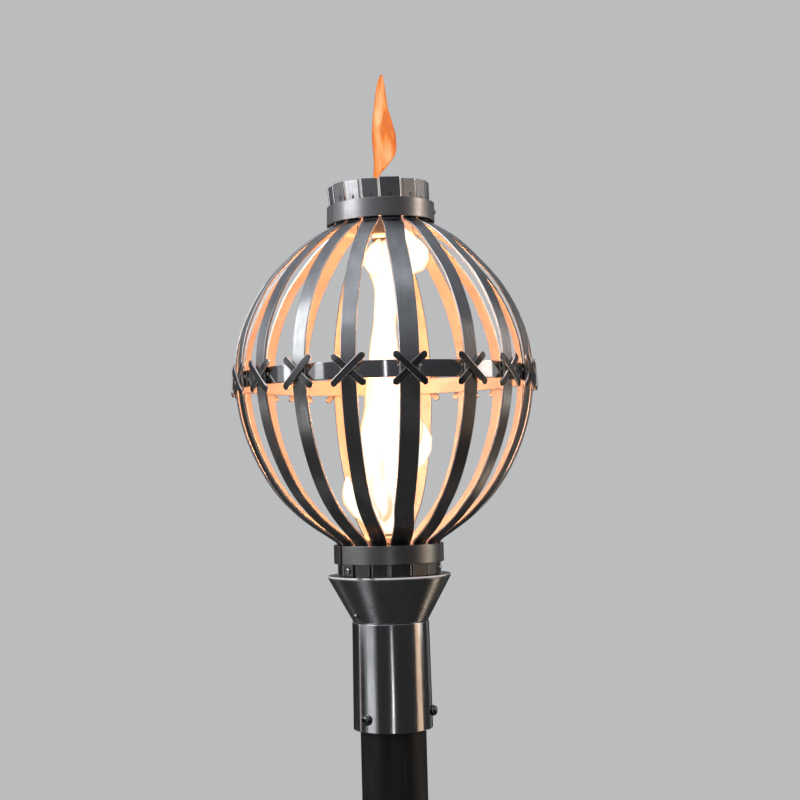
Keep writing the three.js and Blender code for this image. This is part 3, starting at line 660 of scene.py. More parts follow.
# =====================================================================
# crosses: two round-ended strips, laid one over the other
# =====================================================================
def strip(b, az, lean, seat, seed):
    g = rnd(seed)
    L, w, T, bv = CROSS_L + g.uniform(-0.5, 0.4), CROSS_W, CROSS_T, 0.55
    levels = [(0.0, bv), (bv * 0.3, bv * 0.3), (bv, 0.0), (T - bv, 0.0), (T - bv * 0.7, bv * 0.08), (T - bv * 0.3, bv * 0.3), (T, bv), (T, bv + 0.25)]
    nx = 22
    c, s = math.cos(math.radians(lean)), math.sin(math.radians(lean))
    rings, grains = [], []
    for up, inset in levels:
        l, ww = L - inset, w - inset
        xs, ws = [], []
        for q in np.linspace(0, math.pi / 2, 8):
            xs.append(-(l - ww) - ww * math.cos(q)); ws.append(ww * math.sin(q))
        for x in np.linspace(-(l - ww), l - ww, nx)[1:-1]:
            xs.append(x); ws.append(ww)
        for q in np.linspace(math.pi / 2, 0, 8):
            xs.append((l - ww) + ww * math.cos(q)); ws.append(ww * math.sin(q))
        xs, ws = np.array(xs), np.array(ws)
        x = np.concatenate([xs, xs[::-1]])
        y = np.concatenate([-ws, ws[::-1]])
        over = np.clip(np.abs(x) - 14, 0, None) / (L - 14)
        drop = CROSS_DROP * over ** 2
        slope = -np.sign(x) * 2 * CROSS_DROP * over / (L - 14)
        u = x - up * slope
        rings.append(at(az, seat - drop + up, u * c - y * s, EQ + u * s + y * c))
        grains.append(np.stack([y + 50 * seed, x + 70 * seed, np.full(len(x), up * 2)], 1))
    rings, grains = np.array(rings), np.array(grains)
    n, k = rings.shape[:2]
    h = k // 2
    faces, ms = [], []
    for i in range(n - 1):
        for q in range(k):
            t = (q + 1) % k
            faces.append([i * k + q, i * k + t, (i + 1) * k + t, (i + 1) * k + q])
            ms.append(0 if i == n - 2 else 2 if i < 2 else 1)
    for base, rev in ((0, True), ((n - 1) * k, False)):
        for q in range(h - 1):
            f = [base + q, base + q + 1, base + k - 2 - q, base + k - 1 - q]
            faces.append(f[::-1] if rev else f)
            ms.append(2 if rev else 0)
    b.add(rings.reshape(-1, 3), faces, ms, grains)


for i, az in enumerate(STRAP_AZ):
    a, bb, top = CROSS_ANGLES[i]
    b = Build()
    strip(b, az, bb if top else a, CROSS_R, 2 * i)
    strip(b, az, a if top else bb, CROSS_R + CROSS_T - 0.3, 2 * i + 1)
    b.make("cross_%02d_strips" % (i + 1), [CROSS, CROSS_EDGE_HIGHLIGHT, STRAP_IN_PAINTED_LIGHT], "cage", "cross_steel", ["cross_%02d" % (i + 1)])


# =====================================================================
# bands
# =====================================================================
def band(name, d, material, az0=0.0, span=360.0, segs=224, inner=None):
    sec = fillet([(d["ri"], d["z0"]), (d["ro"], d["z0"]), (d["ro"], d["z1"]), (d["ri"], d["z1"])], 0.45, n=3, hold=0.5)
    k = len(sec)
    mats = [1 if (inner is not None and (sec[s][0] + sec[(s + 1) % k][0]) / 2 < d["ri"] + 0.05) else 0 for s in range(k)]
    b = Build()
    lathe(b, sec, segs, az0, span, mats)
    return b.make(name + "_rolled", [material] + ([inner] if inner is not None else []), "cage", "band_steel", [name])


band("top_collar", TOP_COLLAR, BAND, -62 + 0.35, 360 - 0.7)
band("bottom_collar", BOTTOM_COLLAR, BAND_LOW, -58.4 + math.degrees(2 / 63.7), 360 - 2 * math.degrees(2 / 63.7))
band("equator_hoop", HOOP, HOOP_OUT, segs=320, inner=HOOP_IN_PAINTED_LIGHT)

# beads of weld where the hoop meets each strap
b = Build()
for i, az in enumerate(STRAP_AZ):
    half = WIDE_HALF if i == 0 else STRAP_HALF
    for side in (-1, 1):
        g = rnd(500 + 2 * i + side)
        a1 = az + side * math.degrees((half + 0.9) / 170.5)
        c0 = at(a1, 170.3, 0, EQ + g.uniform(-1.0, 3.0))
        m = basis(a1)
        rr, hh = g.uniform(1.2, 1.6), g.uniform(0.7, 1.0)
        rings = []
        for q in np.linspace(0, math.pi / 2, 6):
            k = 14
            aa = np.arange(k) / k * 2 * math.pi
            rad_ = max(rr * math.cos(q), 1e-4)
            rings.append(np.stack([rad_ * np.cos(aa), rad_ * 1.5 * np.sin(aa), np.full(k, hh * math.sin(q))], 1))
        rings = [np.stack([rings[0][:, 0], rings[0][:, 1], np.full(14, -0.3)], 1)] + rings
        b.loft(np.array([r @ m.T + c0 for r in rings]))
b.make("hoop_weld_beads", WELD, "cage", "band_steel")

# small ground weld marks low on each crown flat
b = Build()
for i, az in enumerate(STRAP_END_AZ):
    g = rnd(700 + i)
    c0 = at(az, 58.9, g.uniform(-1.0, 2.0), EQ + g.uniform(206.5, 208.6))
    m = basis(az)
    k = 20
    aa = np.arange(k) / k * 2 * math.pi
    ro = 1.3 * (1 + 0.25 * np.sin(2 * aa + g.uniform(0, 6)) + 0.12 * np.sin(3 * aa + g.uniform(0, 6)))
    sx, sy = g.uniform(0.7, 1.1), g.uniform(1.2, 2.4)
    rings = []
    for f, h in ((1.0, -0.2), (1.0, 0.10), (0.9, 0.24), (0.55, 0.22), (0.2, 0.08), (1e-4, 0.05)):
        rings.append(np.stack([ro * f * sx * np.cos(aa), ro * f * sy * np.sin(aa), np.full(k, h)], 1) @ m.T + c0)
    b.loft(np.array(rings))
b.make("crown_weld_marks", WELD_DARK, "cage", "strap_steel")

# =====================================================================
# cage screws, and the small screw in the top collar
# =====================================================================
for n, s in enumerate(SCREW_STRAPS):
    az = STRAP_END_AZ[s]
    b = Build()
    fastener(b, at(az, 60.2, 0, GLOBE_SCREW_Z), az, 0, 3.8, 2.6, 2.3, 60.2 - SPIGOT_R - 0.3, 1.6, turn=11 * n)
    b.make("cage_screw_%d_head" % (n + 1), [SCREW, SOCKET_SHADE], "cage", "screw_steel", ["cage_screw_%d" % (n + 1)], sharp=28)
b = Build()
fastener(b, at(86, 63.3, 0, EQ + 193.5), 86, 0, 2.7, 2.0, 1.4, 2.4, 1.1, turn=20)
b.make("top_collar_screw", [SCREW, SOCKET_SHADE], "cage", "screw_steel", sharp=28)

# =====================================================================
# seat ring, cone, burner
# =====================================================================
b = Build()
sec = fillet([(42, SEAT_TOP - SEAT_T), (SEAT_R, SEAT_TOP - SEAT_T), (SEAT_R, SEAT_TOP), (SPIGOT_R, SEAT_TOP),
              (SPIGOT_R, SPIGOT_TOP), (SPIGOT_R - SPIGOT_WALL, SPIGOT_TOP), (SPIGOT_R - SPIGOT_WALL, SEAT_TOP), (42, SEAT_TOP)],
             [0.3, 0.8, 0.8, 0.5, 0.5, 0.5, 0.5, 0.3], n=4, hold=0.3)
k = len(sec)
# the plate's outer edge takes the rim material, a painted highlight
mats = [1 if (sec[s][0] + sec[(s + 1) % k][0]) / 2 > SEAT_R - 1.2 else 0 for s in range(k)]
lathe(b, sec, 200, mats=mats)
lathe(b, fillet([(11.05, SEAT_TOP - 6), (18, SEAT_TOP - 6), (18, SEAT_TOP + 6), (11.05, SEAT_TOP + 6)], 0.6), 64)
for az in (30, 150, 270):
    o = fillet([(-7, -SEAT_T), (7, -SEAT_T), (7, 0), (-7, 0)], 0.3)
    b.loft([at(az, r, o[:, 0], SEAT_TOP + o[:, 1]) for r in (16.9, 30, 43)])
b.make("cage_seat_ring", [CONE, RIM_HIGHLIGHT], "torch", "cone_steel", ["cage_seat"])

slope = (RIM_R - FOOT_R) / (RIM_Z - FOOT_Z)
wall = CONE_WALL * math.hypot(1, slope)
b = Build()
sec = fillet([(NECK_R, NECK_Z0), (NECK_R, SLEEVE["z1"] - 0.2), (FOOT_R, FOOT_Z + 0.2), (RIM_R, RIM_Z), (RIM_R - wall, RIM_Z),
              (FOOT_R - wall, FOOT_Z), (NECK_R - CONE_WALL, SLEEVE["z1"] - 1), (NECK_R - CONE_WALL, NECK_Z0)],
             [0.4, 0.3, 0.6, 0.4, 0.4, 1.2, 0.6, 0.4], n=4, hold=0.5)
# extra stations up the cone, so that it shades evenly
fine = []
for j in range(len(sec)):
    a, c = sec[j], sec[(j + 1) % len(sec)]
    steps = max(1, int(np.linalg.norm(c - a) / 6))
    for q in range(steps):
        fine.append(a + (c - a) * q / steps)
lathe(b, fine, 220)
cone = b.make("burner_cone_spun", CONE, "torch", "cone_steel", ["burner_cone"])
coneR = lambda z: FOOT_R + (z - FOOT_Z) * slope
tilt = math.degrees(math.atan(slope))
cbase = at(CONE_SCREW_AZ, coneR(CONE_SCREW_Z), 0, CONE_SCREW_Z)
cut(cone, [plug("tool", cbase, CONE_SCREW_AZ, 2.5, -12, 6, tilt=tilt)])
b = Build()
fastener(b, cbase + basis(CONE_SCREW_AZ, tilt)[:, 2] * 0.3, CONE_SCREW_AZ, tilt, 3.4, 2.4, 2.1, 9.5, 1.5)
b.make("cone_screw_head", [SCREW, SOCKET_SHADE], "torch", "screw_steel", ["cone_screw"], sharp=28)

HT, HB, HR = EQ - 187, EQ - 203, 25
b = Build()
sec = fillet([(11.05, HB), (15, HB), (HR - 2, HB + 5), (HR, HB + 8), (HR, HT - 3), (HR - 3, HT), (6, HT + 1.3), (1e-4, HT + 1.5), (1e-4, HT - 1.5),
              (HR - 4.5, HT - 3), (HR - 4.5, HB + 8), (14, HB + 6.2), (11.05, HB + 6.2)],
             [0.3, 0.8, 1, 1, 1, 1, 0, 0, 0, 1, 1, 1, 0.3], n=3, hold=0.3)
lathe(b, sec, 72)
head = b.make("burner_head_cast", BURNER, "torch", "burner_steel", ["burner_head"], sharp=30)
tools = []
for q in range(8):
    p = at(45 * q + 10, 15, 0, 0)
    me = bpy.data.meshes.new("port")
    k = 20
    aa = np.arange(k) / k * 2 * math.pi
    v = np.concatenate([np.stack([p[0] + 2 * np.cos(aa), p[1] + 2 * np.sin(aa), np.full(k, z)], 1) for z in (HT - 8, HT + 4)]) * MM
    me.from_pydata(v.tolist(), [], [[i, (i + 1) % k, k + (i + 1) % k, k + i] for i in range(k)] + [list(range(k))[::-1], [k + i for i in range(k)]])
    o = bpy.data.objects.new("port_%d" % q, me)
    bpy.context.scene.collection.objects.link(o)
    tools.append(o)
cut(head, tools)

# =====================================================================
# sleeve and its clamp screws
# =====================================================================
S = SLEEVE
b = Build()
sec = fillet([(S["r0"] - S["wall"], S["z0"]), (S["r0"], S["z0"]), (S["r1"], S["z1"]), (S["r1"] - S["wall"], S["z1"])],
             [0.35, 0.55, 0.7, 0.5], n=4, hold=0.6)
fine = []
for j in range(len(sec)):
    a, c = sec[j], sec[(j + 1) % len(sec)]
    steps = max(1, int(np.linalg.norm(c - a) / 9))
    for q in range(steps):
        fine.append(a + (c - a) * q / steps)
lathe(b, fine, 240)
sleeve_r = lambda z: S["r0"] + (z - S["z0"]) / (S["z1"] - S["z0"]) * (S["r1"] - S["r0"])
sleeve = b.make("sleeve_turned", SLEEVE_MAT, "torch", "sleeve_steel", ["sleeve"])
cut(sleeve, [plug("tool", (0, 0, z), az, 3.3, POLE_R + 3, POLE_R + 14) for az, z in zip(CLAMP_AZ, CLAMP_Z)])
b = Build()
for az, z in zip(CLAMP_AZ, CLAMP_Z):
    k = 32
    aa = np.arange(k) / k * 2 * math.pi
    m = basis(az)
    ring = lambda r, h: np.stack([r * np.cos(aa), r * np.sin(aa), np.full(k, h)], 1) @ m.T + np.array([0, 0, z])
    r1 = sleeve_r(z)
    r0 = r1 - S["wall"] - 0.35
    b.loft([ring(3.3, POLE_R + 1.2), ring(5.7, POLE_R + 1.2), ring(6, POLE_R + 1.5), ring(6, r0), ring(3.3, r0)], closed=True)
b.make("sleeve_bosses", SLEEVE_MAT, "torch", "sleeve_steel")
for n, az in enumerate(CLAMP_AZ):
    b = Build()
    seat = sleeve_r(CLAMP_Z[n]) + 0.3
    fastener(b, at(az, seat, 0, CLAMP_Z[n]), az, 0, 6.2, 6.5, 3.0, seat - POLE_R - 0.3, 2.9, turn=17 * n + 5)
    b.make("clamp_screw_%d_head" % (n + 1), [SCREW_DARK, SOCKET_SHADE], "torch", "screw_steel", ["clamp_screw_%d" % (n + 1)], sharp=28)

# =====================================================================
# pole, knob
# =====================================================================
b = Build()
zs = [0, POLE_LENGTH]
sec = fillet([(POLE_R - POLE_WALL, 0), (POLE_R, 0), (POLE_R, POLE_LENGTH), (POLE_R - POLE_WALL, POLE_LENGTH)], 0.7, n=3, hold=1.0)
lathe(b, sec, 192)
pole = b.make("pole_tube", POLE_MAT, "torch", "pole_coat", ["pole"])
cut(pole, [plug("tool", (0, 0, COCK_Z), 0, 7, 30, 44, k=48)])

b = Build()
k = 216
aa = np.arange(k) / k * 2 * math.pi
grip = 1.3 * (0.5 - 0.5 * np.cos(9 * aa)) ** 2


def knob_ring(r, h, depth=1.0):
    q = r - grip * depth
    return np.stack([q * np.cos(aa), q * np.sin(aa), np.full(k, h)], 1)


m = basis(0)
rings = [(1e-4, 40.4, 0), (16.0, 40.4, 1), (16.6, 40.7, 1), (17.0, 41.4, 1), (17.0, 45, 1), (17.0, 53, 1), (17.0, 56.2, 1), (16.6, 57.8, 1),
         (15.7, 59.0, 0.9), (14.2, 59.8, 0.6), (12.6, 60.0, 0.2), (11.4, 59.7, 0), (10.6, 59.3, 0), (4, 59.2, 0), (1e-4, 59.2, 0)]
b.loft([(knob_ring(r, h, d) if r > 1 else np.stack([r * np.cos(aa), r * np.sin(aa), np.full(k, h)], 1)) @ m.T + np.array([0, 0, COCK_Z])
        for r, h, d in rings])
o = fillet([(-1.6, -11.2), (1.6, -11.2), (1.6, 11.2), (-1.6, 11.2)], 1.2, n=4, hold=0.2)
b.loft([np.stack([o[:, 0] * f, o[:, 1] * g_, np.full(len(o), h)], 1) @ m.T + np.array([0, 0, COCK_Z])
        for f, g_, h in ((1, 1, 58.6), (1, 1, 60.9), (0.9, 0.985, 61.5), (0.6, 0.96, 61.8))])
b.make("gas_knob_moulded", KNOB_MAT, "cock", "knob", ["gas_knob"], sharp=40)

# =====================================================================
# CAD nodes that stay, inside the torch, with procedural materials
# =====================================================================
for node, material, slot_ in (("gas_hose", HOSE_MAT, "hose"), ("supply_pipe", PIPE_MAT, "pipe"), ("gas_cock_body", BRASS, "brass"),
                              ("gas_cock_plug", BRASS, "brass"), ("burner_tube", BURNER, "burner_steel"),
                              ("burner_bush", BURNER, "burner_steel")):
    ob = frame["nodes"][node]
    ob.data.materials.clear()
    ob.data.materials.append(material)
    ob.data.polygons.foreach_set("use_smooth", np.ones(len(ob.data.polygons), bool))
    ob.data.set_sharp_from_angle(angle=math.radians(35))


# =====================================================================
# flame (not part of the object)
# =====================================================================
def flame_mat(name, strength, soft, stops, grain=(26, 26, 7), swing=0.5, wisps=None, lean_=0.5):
    """Emission that thins and reddens at the edge, with streaks running up the flame."""
    m = bpy.data.materials.new(name)
    m.use_nodes = True
    nt = m.node_tree
    nt.nodes.clear()
    N = nt.nodes.new
    out = N("ShaderNodeOutputMaterial")
    mix = N("ShaderNodeMixShader")
    tr = N("ShaderNodeBsdfTransparent")
    em = N("ShaderNodeEmission")
    lw = N("ShaderNodeLayerWeight")
    lw.inputs["Blend"].default_value = 0.5
    inv = N("ShaderNodeMath"); inv.operation = "SUBTRACT"; inv.inputs[0].default_value = 1.0
    nt.links.new(lw.outputs["Facing"], inv.inputs[1])
    tc = N("ShaderNodeTexCoord")

    def noise(scale, detail):
        mp = N("ShaderNodeMapping"); mp.inputs["Scale"].default_value = scale
        no = N("ShaderNodeTexNoise"); no.inputs["Scale"].default_value = 1.0; no.inputs["Detail"].default_value = detail
        no.inputs["Distortion"].default_value = 0.6
        nt.links.new(tc.outputs["Object"], mp.inputs["Vector"])
        nt.links.new(mp.outputs["Vector"], no.inputs["Vector"])
        return no.outputs["Fac"]

    add = N("ShaderNodeMath"); add.operation = "MULTIPLY_ADD"
    nt.links.new(noise(grain, 2.5), add.inputs[0]); add.inputs[1].default_value = swing; add.inputs[2].default_value = -swing * lean_
    tot = N("ShaderNodeMath"); tot.operation = "ADD"; tot.use_clamp = True
    nt.links.new(inv.outputs[0], tot.inputs[0]); nt.links.new(add.outputs[0], tot.inputs[1])
    al = N("ShaderNodeMapRange"); al.interpolation_type = "SMOOTHSTEP"
    al.inputs["From Min"].default_value = 0.03; al.inputs["From Max"].default_value = soft
    nt.links.new(tot.outputs[0], al.inputs["Value"])
    cr = N("ShaderNodeValToRGB")
    els = cr.color_ramp.elements
    while len(els) < len(stops):
        els.new(0.5)
    for e, (p, c) in zip(els, stops):
        e.position, e.color = p, (*c, 1)
    nt.links.new(tot.outputs[0], cr.inputs["Fac"])
    colour = cr.outputs["Color"]
    if wisps:
        z0, z1, tone = wisps
        sep = N("ShaderNodeSeparateXYZ")
        nt.links.new(tc.outputs["Object"], sep.inputs[0])
        hz = N("ShaderNodeMapRange")
        hz.inputs["From Min"].default_value, hz.inputs["From Max"].default_value = z1 * MM, z0 * MM
        nt.links.new(sep.outputs["Z"], hz.inputs["Value"])
        th = N("ShaderNodeMapRange"); th.interpolation_type = "SMOOTHSTEP"
        th.inputs["From Min"].default_value, th.inputs["From Max"].default_value = 0.53, 0.70
        nt.links.new(noise((75, 75, 16), 2.0), th.inputs["Value"])
        k = N("ShaderNodeMath"); k.operation = "MULTIPLY"; k.use_clamp = True
        nt.links.new(hz.outputs["Result"], k.inputs[0]); nt.links.new(th.outputs["Result"], k.inputs[1])
        mc = N("ShaderNodeMix"); mc.data_type = "RGBA"
        nt.links.new(k.outputs[0], mc.inputs[0]); nt.links.new(colour, mc.inputs[6])
        mc.inputs[7].default_value = (*tone, 1)
        colour = mc.outputs[2]
    nt.links.new(colour, em.inputs["Color"])
    em.inputs["Strength"].default_value = strength
    nt.links.new(al.outputs["Result"], mix.inputs["Fac"])
    nt.links.new(tr.outputs[0], mix.inputs[1])
    nt.links.new(em.outputs[0], mix.inputs[2])
    nt.links.new(mix.outputs[0], out.inputs["Surface"])
    m.cycles.emission_sampling = "NONE"
    return m


HOT = [(0.0, (0.9, 0.24, 0.03)), (0.22, (1.0, 0.42, 0.12)), (0.42, (1.0, 0.76, 0.44)), (0.66, (1.0, 0.95, 0.84))]
FLAME = flame_mat("flame", 1.25, 0.40, HOT, swing=0.6, wisps=(EQ - 175, EQ - 60, (0.80, 0.50, 0.24)))
LOBE = flame_mat("flame_lobe", 1.2, 0.5, HOT, grain=(50, 50, 20), swing=0.7)
TONGUE = flame_mat("flame_tongue", 1.0, 0.55, [(0.0, (0.35, 0.04, 0.003)), (0.35, (0.75, 0.13, 0.015)), (0.62, (0.98, 0.29, 0.07)), (0.95, (1.0, 0.62, 0.30))],
                   grain=(75, 75, 16), swing=1.4, lean_=0.68)


def flame(name, stations, material, seed, depth=0.8, lump=1.0):
    """stations: (z from the equator, centre x, centre y, half width), in mm."""
    g = rnd(seed)
    st = np.array(stations, float)
    zz = np.linspace(st[0, 0], st[-1, 0], 46)
    k = 40
    aa = np.arange(k) / k * 2 * math.pi
    ph = g.uniform(0, 6.28, 6)
    s01 = (st[:, 0] - st[0, 0]) / (st[-1, 0] - st[0, 0])
    rings = []
    for z in zz:
        cx, cy, w = (np.interp(z, st[:, 0], st[:, c]) for c in (1, 2, 3))
        rr = w * (1 + lump * (0.10 * np.sin(2 * aa + z / 31 + ph[0]) + 0.07 * np.sin(3 * aa - z / 23 + ph[1]) + 0.04 * np.sin(5 * aa + z / 13 + ph[2])))
        rings.append(np.stack([cx + rr * np.cos(aa), cy + rr * depth * np.sin(aa), np.full(k, EQ + z)], 1))
    b = Build()
    b.loft(rings, caps=True)
    ob = b.make(name, material, "torch", stage=True, sharp=180)
    md = ob.modifiers.new("smooth", "SMOOTH")
    md.factor, md.iterations = 0.5, 6
    ob.visible_shadow = False
    ob.visible_glossy = False
    ob.visible_diffuse = False
    return ob


flame("flame_main", [(-184, 0, 0, 3), (-180, 0, 0, 13), (-165, 0, 0, 20), (-140, -6, 0, 28), (-115, -4, 0, 32), (-80, 2, 0, 35), (-55, 6, 0, 34),
                     (-30, 6, 0, 29), (0, 3, 0, 24), (30, 1, 0, 19), (60, 2, 2, 15), (90, 4, 4, 14), (110, 6, 4, 15),
                     (128, 4, 4, 20), (140, 10, 4, 24), (152, 12, 4, 24), (163, 14, 3, 16), (170, 18, 2, 4)], FLAME, 1)
flame("flame_left_low", [(-182, -6, 0, 3), (-172, -16, -4, 9), (-158, -30, -6, 12), (-145, -40, -6, 12), (-133, -45, -4, 9), (-120, -46, -2, 5), (-112, -46, 0, 1.5)],
      LOBE, 2)
flame("flame_right_mid", [(-110, 28, 8, 4), (-100, 36, 8, 10), (-85, 42, 8, 13), (-70, 44, 8, 13), (-58, 42, 8, 9), (-45, 38, 8, 3)], LOBE, 3)
flame("flame_top_left", [(116, 0, -4, 3), (124, -7, -6, 8), (134, -10, -6, 12), (148, -9, -6, 12.5), (158, -5, -5, 9), (165, -2, -4, 2)], LOBE, 4)
flame("flame_top_right", [(120, 26, 10, 4), (128, 38, 10, 12), (140, 42, 8, 16), (152, 42, 6, 15), (162, 38, 4, 11), (171, 32, 4, 6), (178, 28, 4, 1.5)], LOBE, 5)
flame("flame_tongue", [(224, -7, 0, 1.5), (238, -4, 0, 4), (252, 3, 0, 9), (264, 8, 0, 14), (276, 8, 0, 15), (290, 6, 0, 14), (304, 4, 0, 11), (318, 3, 0, 8),
                       (334, 4, 0, 6), (350, 5, 0, 4), (362, 6, 0, 1.2)], TONGUE, 6, depth=0.6, lump=1.6)


# =====================================================================
# floor, world, lights
# =====================================================================
def floor():
    b = Build()
    k, rr = 96, 40000.0
    rings = [at(np.arange(k) / k * 360, r, 0, 0.0) for r in (1.0, 1500, 4000, 9000, rr)]
    verts = np.concatenate(rings)
    faces = []
    for i in range(len(rings) - 1):
        for s in range(k):
            t = (s + 1) % k
            faces.append([i * k + s, i * k + t, (i + 1) * k + t, (i + 1) * k + s])
    faces.append(list(range(k)))
    me = bpy.data.meshes.new("floor")
    me.from_pydata((verts * MM).tolist(), [], faces)
    me.update()
    if me.polygons[0].normal.z < 0:
        me.flip_normals()
    ob = bpy.data.objects.new("floor", me)
    bpy.context.scene.collection.objects.link(ob)
    m = bpy.data.materials.new("floor_plain")
    m.use_nodes = True
    nt = m.node_tree
    bs = next(n for n in nt.nodes if n.type == "BSDF_PRINCIPLED")
    bs.inputs["Base Color"].default_value = (0.78, 0.78, 0.78, 1)
    bs.inputs["Roughness"].default_value = 0.9
    bs.inputs["Specular IOR Level"].default_value = 0.1
    out = next(n for n in nt.nodes if n.type == "OUTPUT_MATERIAL")
    # far away the floor runs into the backdrop's own tone, with no horizon line
    tc = nt.nodes.new("ShaderNodeTexCoord")
    ln = nt.nodes.new("ShaderNodeVectorMath"); ln.operation = "LENGTH"
    nt.links.new(tc.outputs["Object"], ln.inputs[0])
    mr = nt.nodes.new("ShaderNodeMapRange"); mr.interpolation_type = "SMOOTHSTEP"
    mr.inputs["From Min"].default_value = 0.25; mr.inputs["From Max"].default_value = 1.9
    nt.links.new(ln.outputs["Value"], mr.inputs["Value"])
    em = nt.nodes.new("ShaderNodeEmission")
    em.inputs["Color"].default_value = (*BACKDROP, 1)
    em.inputs["Strength"].default_value = 1.0
    mix = nt.nodes.new("ShaderNodeMixShader")
    nt.links.new(mr.outputs["Result"], mix.inputs["Fac"])
    nt.links.new(bs.outputs[0], mix.inputs[1])
    nt.links.new(em.outputs[0], mix.inputs[2])
    nt.links.new(mix.outputs[0], out.inputs["Surface"])
    m.cycles.emission_sampling = "NONE"
    me.materials.append(m)
    ob.visible_glossy = False
    return ob


BACKDROP = (0.50, 0.505, 0.51)
floor()

world = bpy.data.worlds.new("studio")
bpy.context.scene.world = world
world.use_nodes = True
nt = world.node_tree
nt.nodes.clear()
out = nt.nodes.new("ShaderNodeOutputWorld")
lp = nt.nodes.new("ShaderNodeLightPath")
seen = nt.nodes.new("ShaderNodeBackground")
seen.inputs["Color"].default_value = (*BACKDROP, 1)
env = nt.nodes.new("ShaderNodeBackground")
tc = nt.nodes.new("ShaderNodeTexCoord")
cr = nt.nodes.new("ShaderNodeValToRGB")
els = cr.color_ramp.elements
stops = [(0.0, (0.07, 0.07, 0.072)), (0.30, (0.06, 0.06, 0.062)), (0.38, (0.028, 0.028, 0.029)), (0.49, (0.03, 0.03, 0.032)), (0.55, (0.13, 0.134, 0.142)),
         (0.62, (0.22, 0.227, 0.24)), (0.68, (0.29, 0.30, 0.325)), (0.74, (0.37, 0.385, 0.42)), (1.0, (0.37, 0.385, 0.43))]
while len(els) < len(stops):
    els.new(0.5)
for e, (p, c) in zip(els, stops):
    e.position, e.color = p, (*c, 1)
mr = nt.nodes.new("ShaderNodeMapRange")
mr.inputs["From Min"].default_value, mr.inputs["From Max"].default_value = -1, 1
# the sky half is lighter on the left
sp = nt.nodes.new("ShaderNodeSeparateXYZ")
nt.links.new(tc.outputs["Generated"], sp.inputs[0])
side = nt.nodes.new("ShaderNodeMath"); side.operation = "MULTIPLY_ADD"
side.inputs[1].default_value, side.inputs[2].default_value = -0.8, 1.0
nt.links.new(sp.outputs["X"], side.inputs[0])
up = nt.nodes.new("ShaderNodeMath"); up.operation = "MULTIPLY"
nt.links.new(sp.outputs["Z"], up.inputs[0])
nt.links.new(side.outputs[0], up.inputs[1])
nt.links.new(up.outputs[0], mr.inputs["Value"])
nt.links.new(mr.outputs["Result"], cr.inputs["Fac"])
nt.links.new(cr.outputs["Color"], env.inputs["Color"])
env.inputs["Strength"].default_value = 1.0
amb = nt.nodes.new("ShaderNodeBackground")
amb.inputs["Color"].default_value = (0.40, 0.41, 0.42, 1)
m1 = nt.nodes.new("ShaderNodeMixShader")
nt.links.new(lp.outputs["Is Diffuse Ray"], m1.inputs["Fac"])
nt.links.new(env.outputs[0], m1.inputs[1])
nt.links.new(amb.outputs[0], m1.inputs[2])
mx = nt.nodes.new("ShaderNodeMixShader")
nt.links.new(lp.outputs["Is Camera Ray"], mx.inputs["Fac"])
nt.links.new(m1.outputs[0], mx.inputs[1])
nt.links.new(seen.outputs[0], mx.inputs[2])
nt.links.new(mx.outputs[0], out.inputs["Surface"])


def softbox(name, az, dist, z, w, h, colour, radiance, aim=0.0, elev=None):
    """A rectangular light at an azimuth; z and aim are heights from the equator, in metres."""
    li = bpy.data.lights.new(name, "AREA")
    li.shape = "RECTANGLE"
    li.size, li.size_y = w, h
    li.color = colour
    li.energy = 4 * w * h * radiance
    ob = bpy.data.objects.new(name, li)
    bpy.context.scene.collection.objects.link(ob)
    a = math.radians(az)
    p = Vector((dist * math.sin(a), -dist * math.cos(a), EQ * MM + z))
    t = Vector((0, 0, EQ * MM + aim))
    ob.matrix_world = Matrix.Translation(p) @ (t - p).to_track_quat("-Z", "Y").to_matrix().to_4x4()
    ob.visible_camera = False
    return ob


softbox("key_cool", -66, 2.1, 1.16, 1.3, 1.7, (0.98, 0.985, 1.0), 2.9, aim=1.1)
softbox("key_front", -26, 2.4, 1.25, 0.7, 1.2, (0.93, 0.96, 1.0), 0.13, aim=1.1)
softbox("hoop_left", -49, 2.1, 0.15, 0.26, 0.2, (0.95, 0.97, 1.0), 1.0, aim=0.1)
softbox("hoop_left_far", -77, 2.1, 0.15, 0.24, 0.2, (0.95, 0.97, 1.0), 1.5, aim=0.1)
softbox("hoop_left_soft", -70, 2.1, 0.15, 1.3, 0.2, (0.95, 0.97, 1.0), 0.30, aim=0.1)
softbox("hoop_right", 80, 2.1, 0.15, 0.62, 0.2, (1.0, 0.84, 0.75), 1.6, aim=0.1)
softbox("key_low", -65, 2.1, -0.74, 0.95, 0.62, (0.96, 0.98, 1.0), 0.48, aim=-0.35)
softbox("key_low_soft", -66, 2.3, -0.74, 1.8, 0.62, (0.93, 0.96, 1.0), 0.16, aim=-0.35)
softbox("side_warm", 88, 2.2, 0.66, 0.45, 0.7, (1.0, 0.79, 0.66), 5.0, aim=0.4)
softbox("side_warm_low", 85, 2.2, -0.55, 0.75, 1.0, (1.0, 0.70, 0.47), 0.85, aim=-0.2)
softbox("side_fill", 99, 2.4, 0.75, 2.0, 1.3, (0.98, 0.98, 0.96), 0.28, aim=0.3)
softbox("left_fill", -110, 2.4, 0.75, 0.8, 1.3, (0.96, 0.98, 1.0), 0.26, aim=0.3)
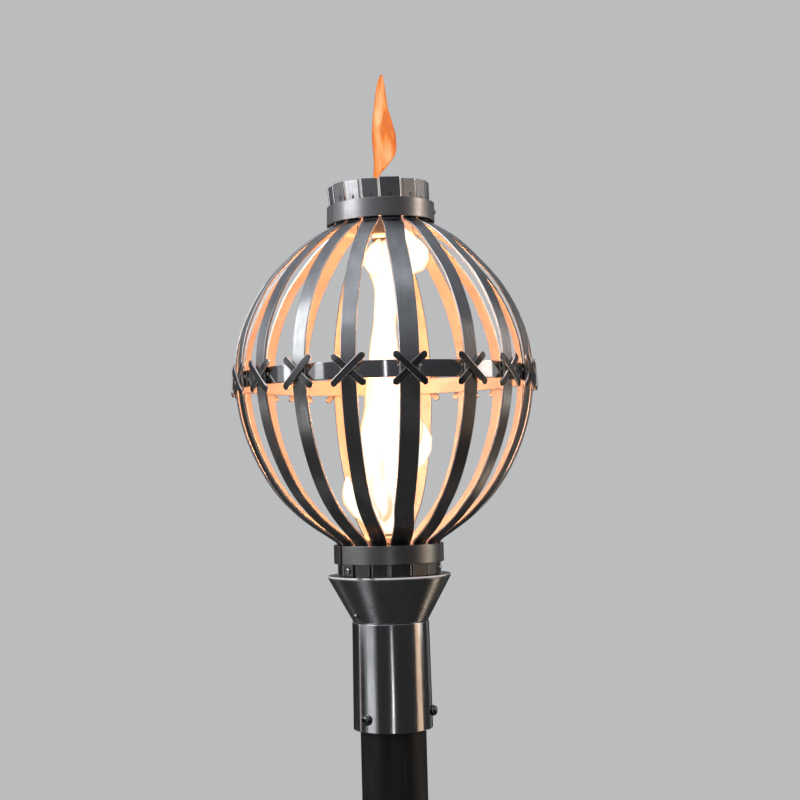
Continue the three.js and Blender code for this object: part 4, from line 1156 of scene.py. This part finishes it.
softbox("strip_front", 0.8, 2.7, -0.97, 0.10, 0.90, (1, 1, 1), 3.6, aim=-0.4)
softbox("strip_hoop", 0.8, 2.7, 0.10, 0.05, 0.28, (1, 1, 1), 4.0, aim=0.1)
softbox("strip_left_back", -108, 2.2, -0.35, 0.10, 1.9, (1.0, 0.86, 0.84), 1.0, aim=-0.3)
softbox("panel_right_back", 142, 2.2, -0.2, 0.6, 1.8, (0.86, 0.95, 0.93), 0.14, aim=-0.1)
softbox("low_left", -69, 0.85, -1.36, 0.28, 0.4, (0.95, 0.97, 1.0), 0.6, aim=-0.25)
softbox("pole_left", -132, 2.1, -1.2, 0.3, 0.9, (0.93, 0.96, 1.0), 0.2, aim=-0.9)
softbox("pole_right", 108, 2.1, -1.25, 0.4, 0.7, (1.0, 0.88, 0.76), 0.3, aim=-0.9)
softbox("feet_right", 96, 2.1, -0.33, 0.7, 0.24, (1.0, 0.98, 0.90), 1.5, aim=-0.2)
softbox("feet_left", -93, 2.1, -0.33, 1.1, 0.24, (0.97, 0.98, 1.0), 0.55, aim=-0.2)
softbox("low_right", 116, 1.3, -1.0, 0.16, 0.5, (1.0, 0.82, 0.62), 1.9, aim=-0.25)
softbox("overhead", -50, 0.9, 2.1, 2.6, 2.6, (0.93, 0.96, 1.0), 0.55, aim=0.1)


def glow(name, x, y, z, radius, watts, colour=(1.0, 0.40, 0.16)):
    li = bpy.data.lights.new(name, "POINT")
    li.color, li.energy, li.shadow_soft_size = colour, watts, radius
    ob = bpy.data.objects.new(name, li)
    bpy.context.scene.collection.objects.link(ob)
    ob.location = Vector((x, y, EQ + z)) * MM
    bpy.context.view_layer.update()
    w = ob.matrix_world.copy()
    ob.parent = frame["bodies"]["torch"]
    ob.matrix_world = w
    ob.visible_camera = False
    return ob


glow("flame_light_low", 0, 0, -110, 0.030, 1.0)
glow("flame_light_mid", 2, 0, -20, 0.026, 1.05)
glow("flame_light_high", 4, 2, 70, 0.022, 0.85)
glow("flame_light_top", 8, 2, 145, 0.022, 0.3)

scene = bpy.context.scene
scene.view_settings.view_transform = "Standard"
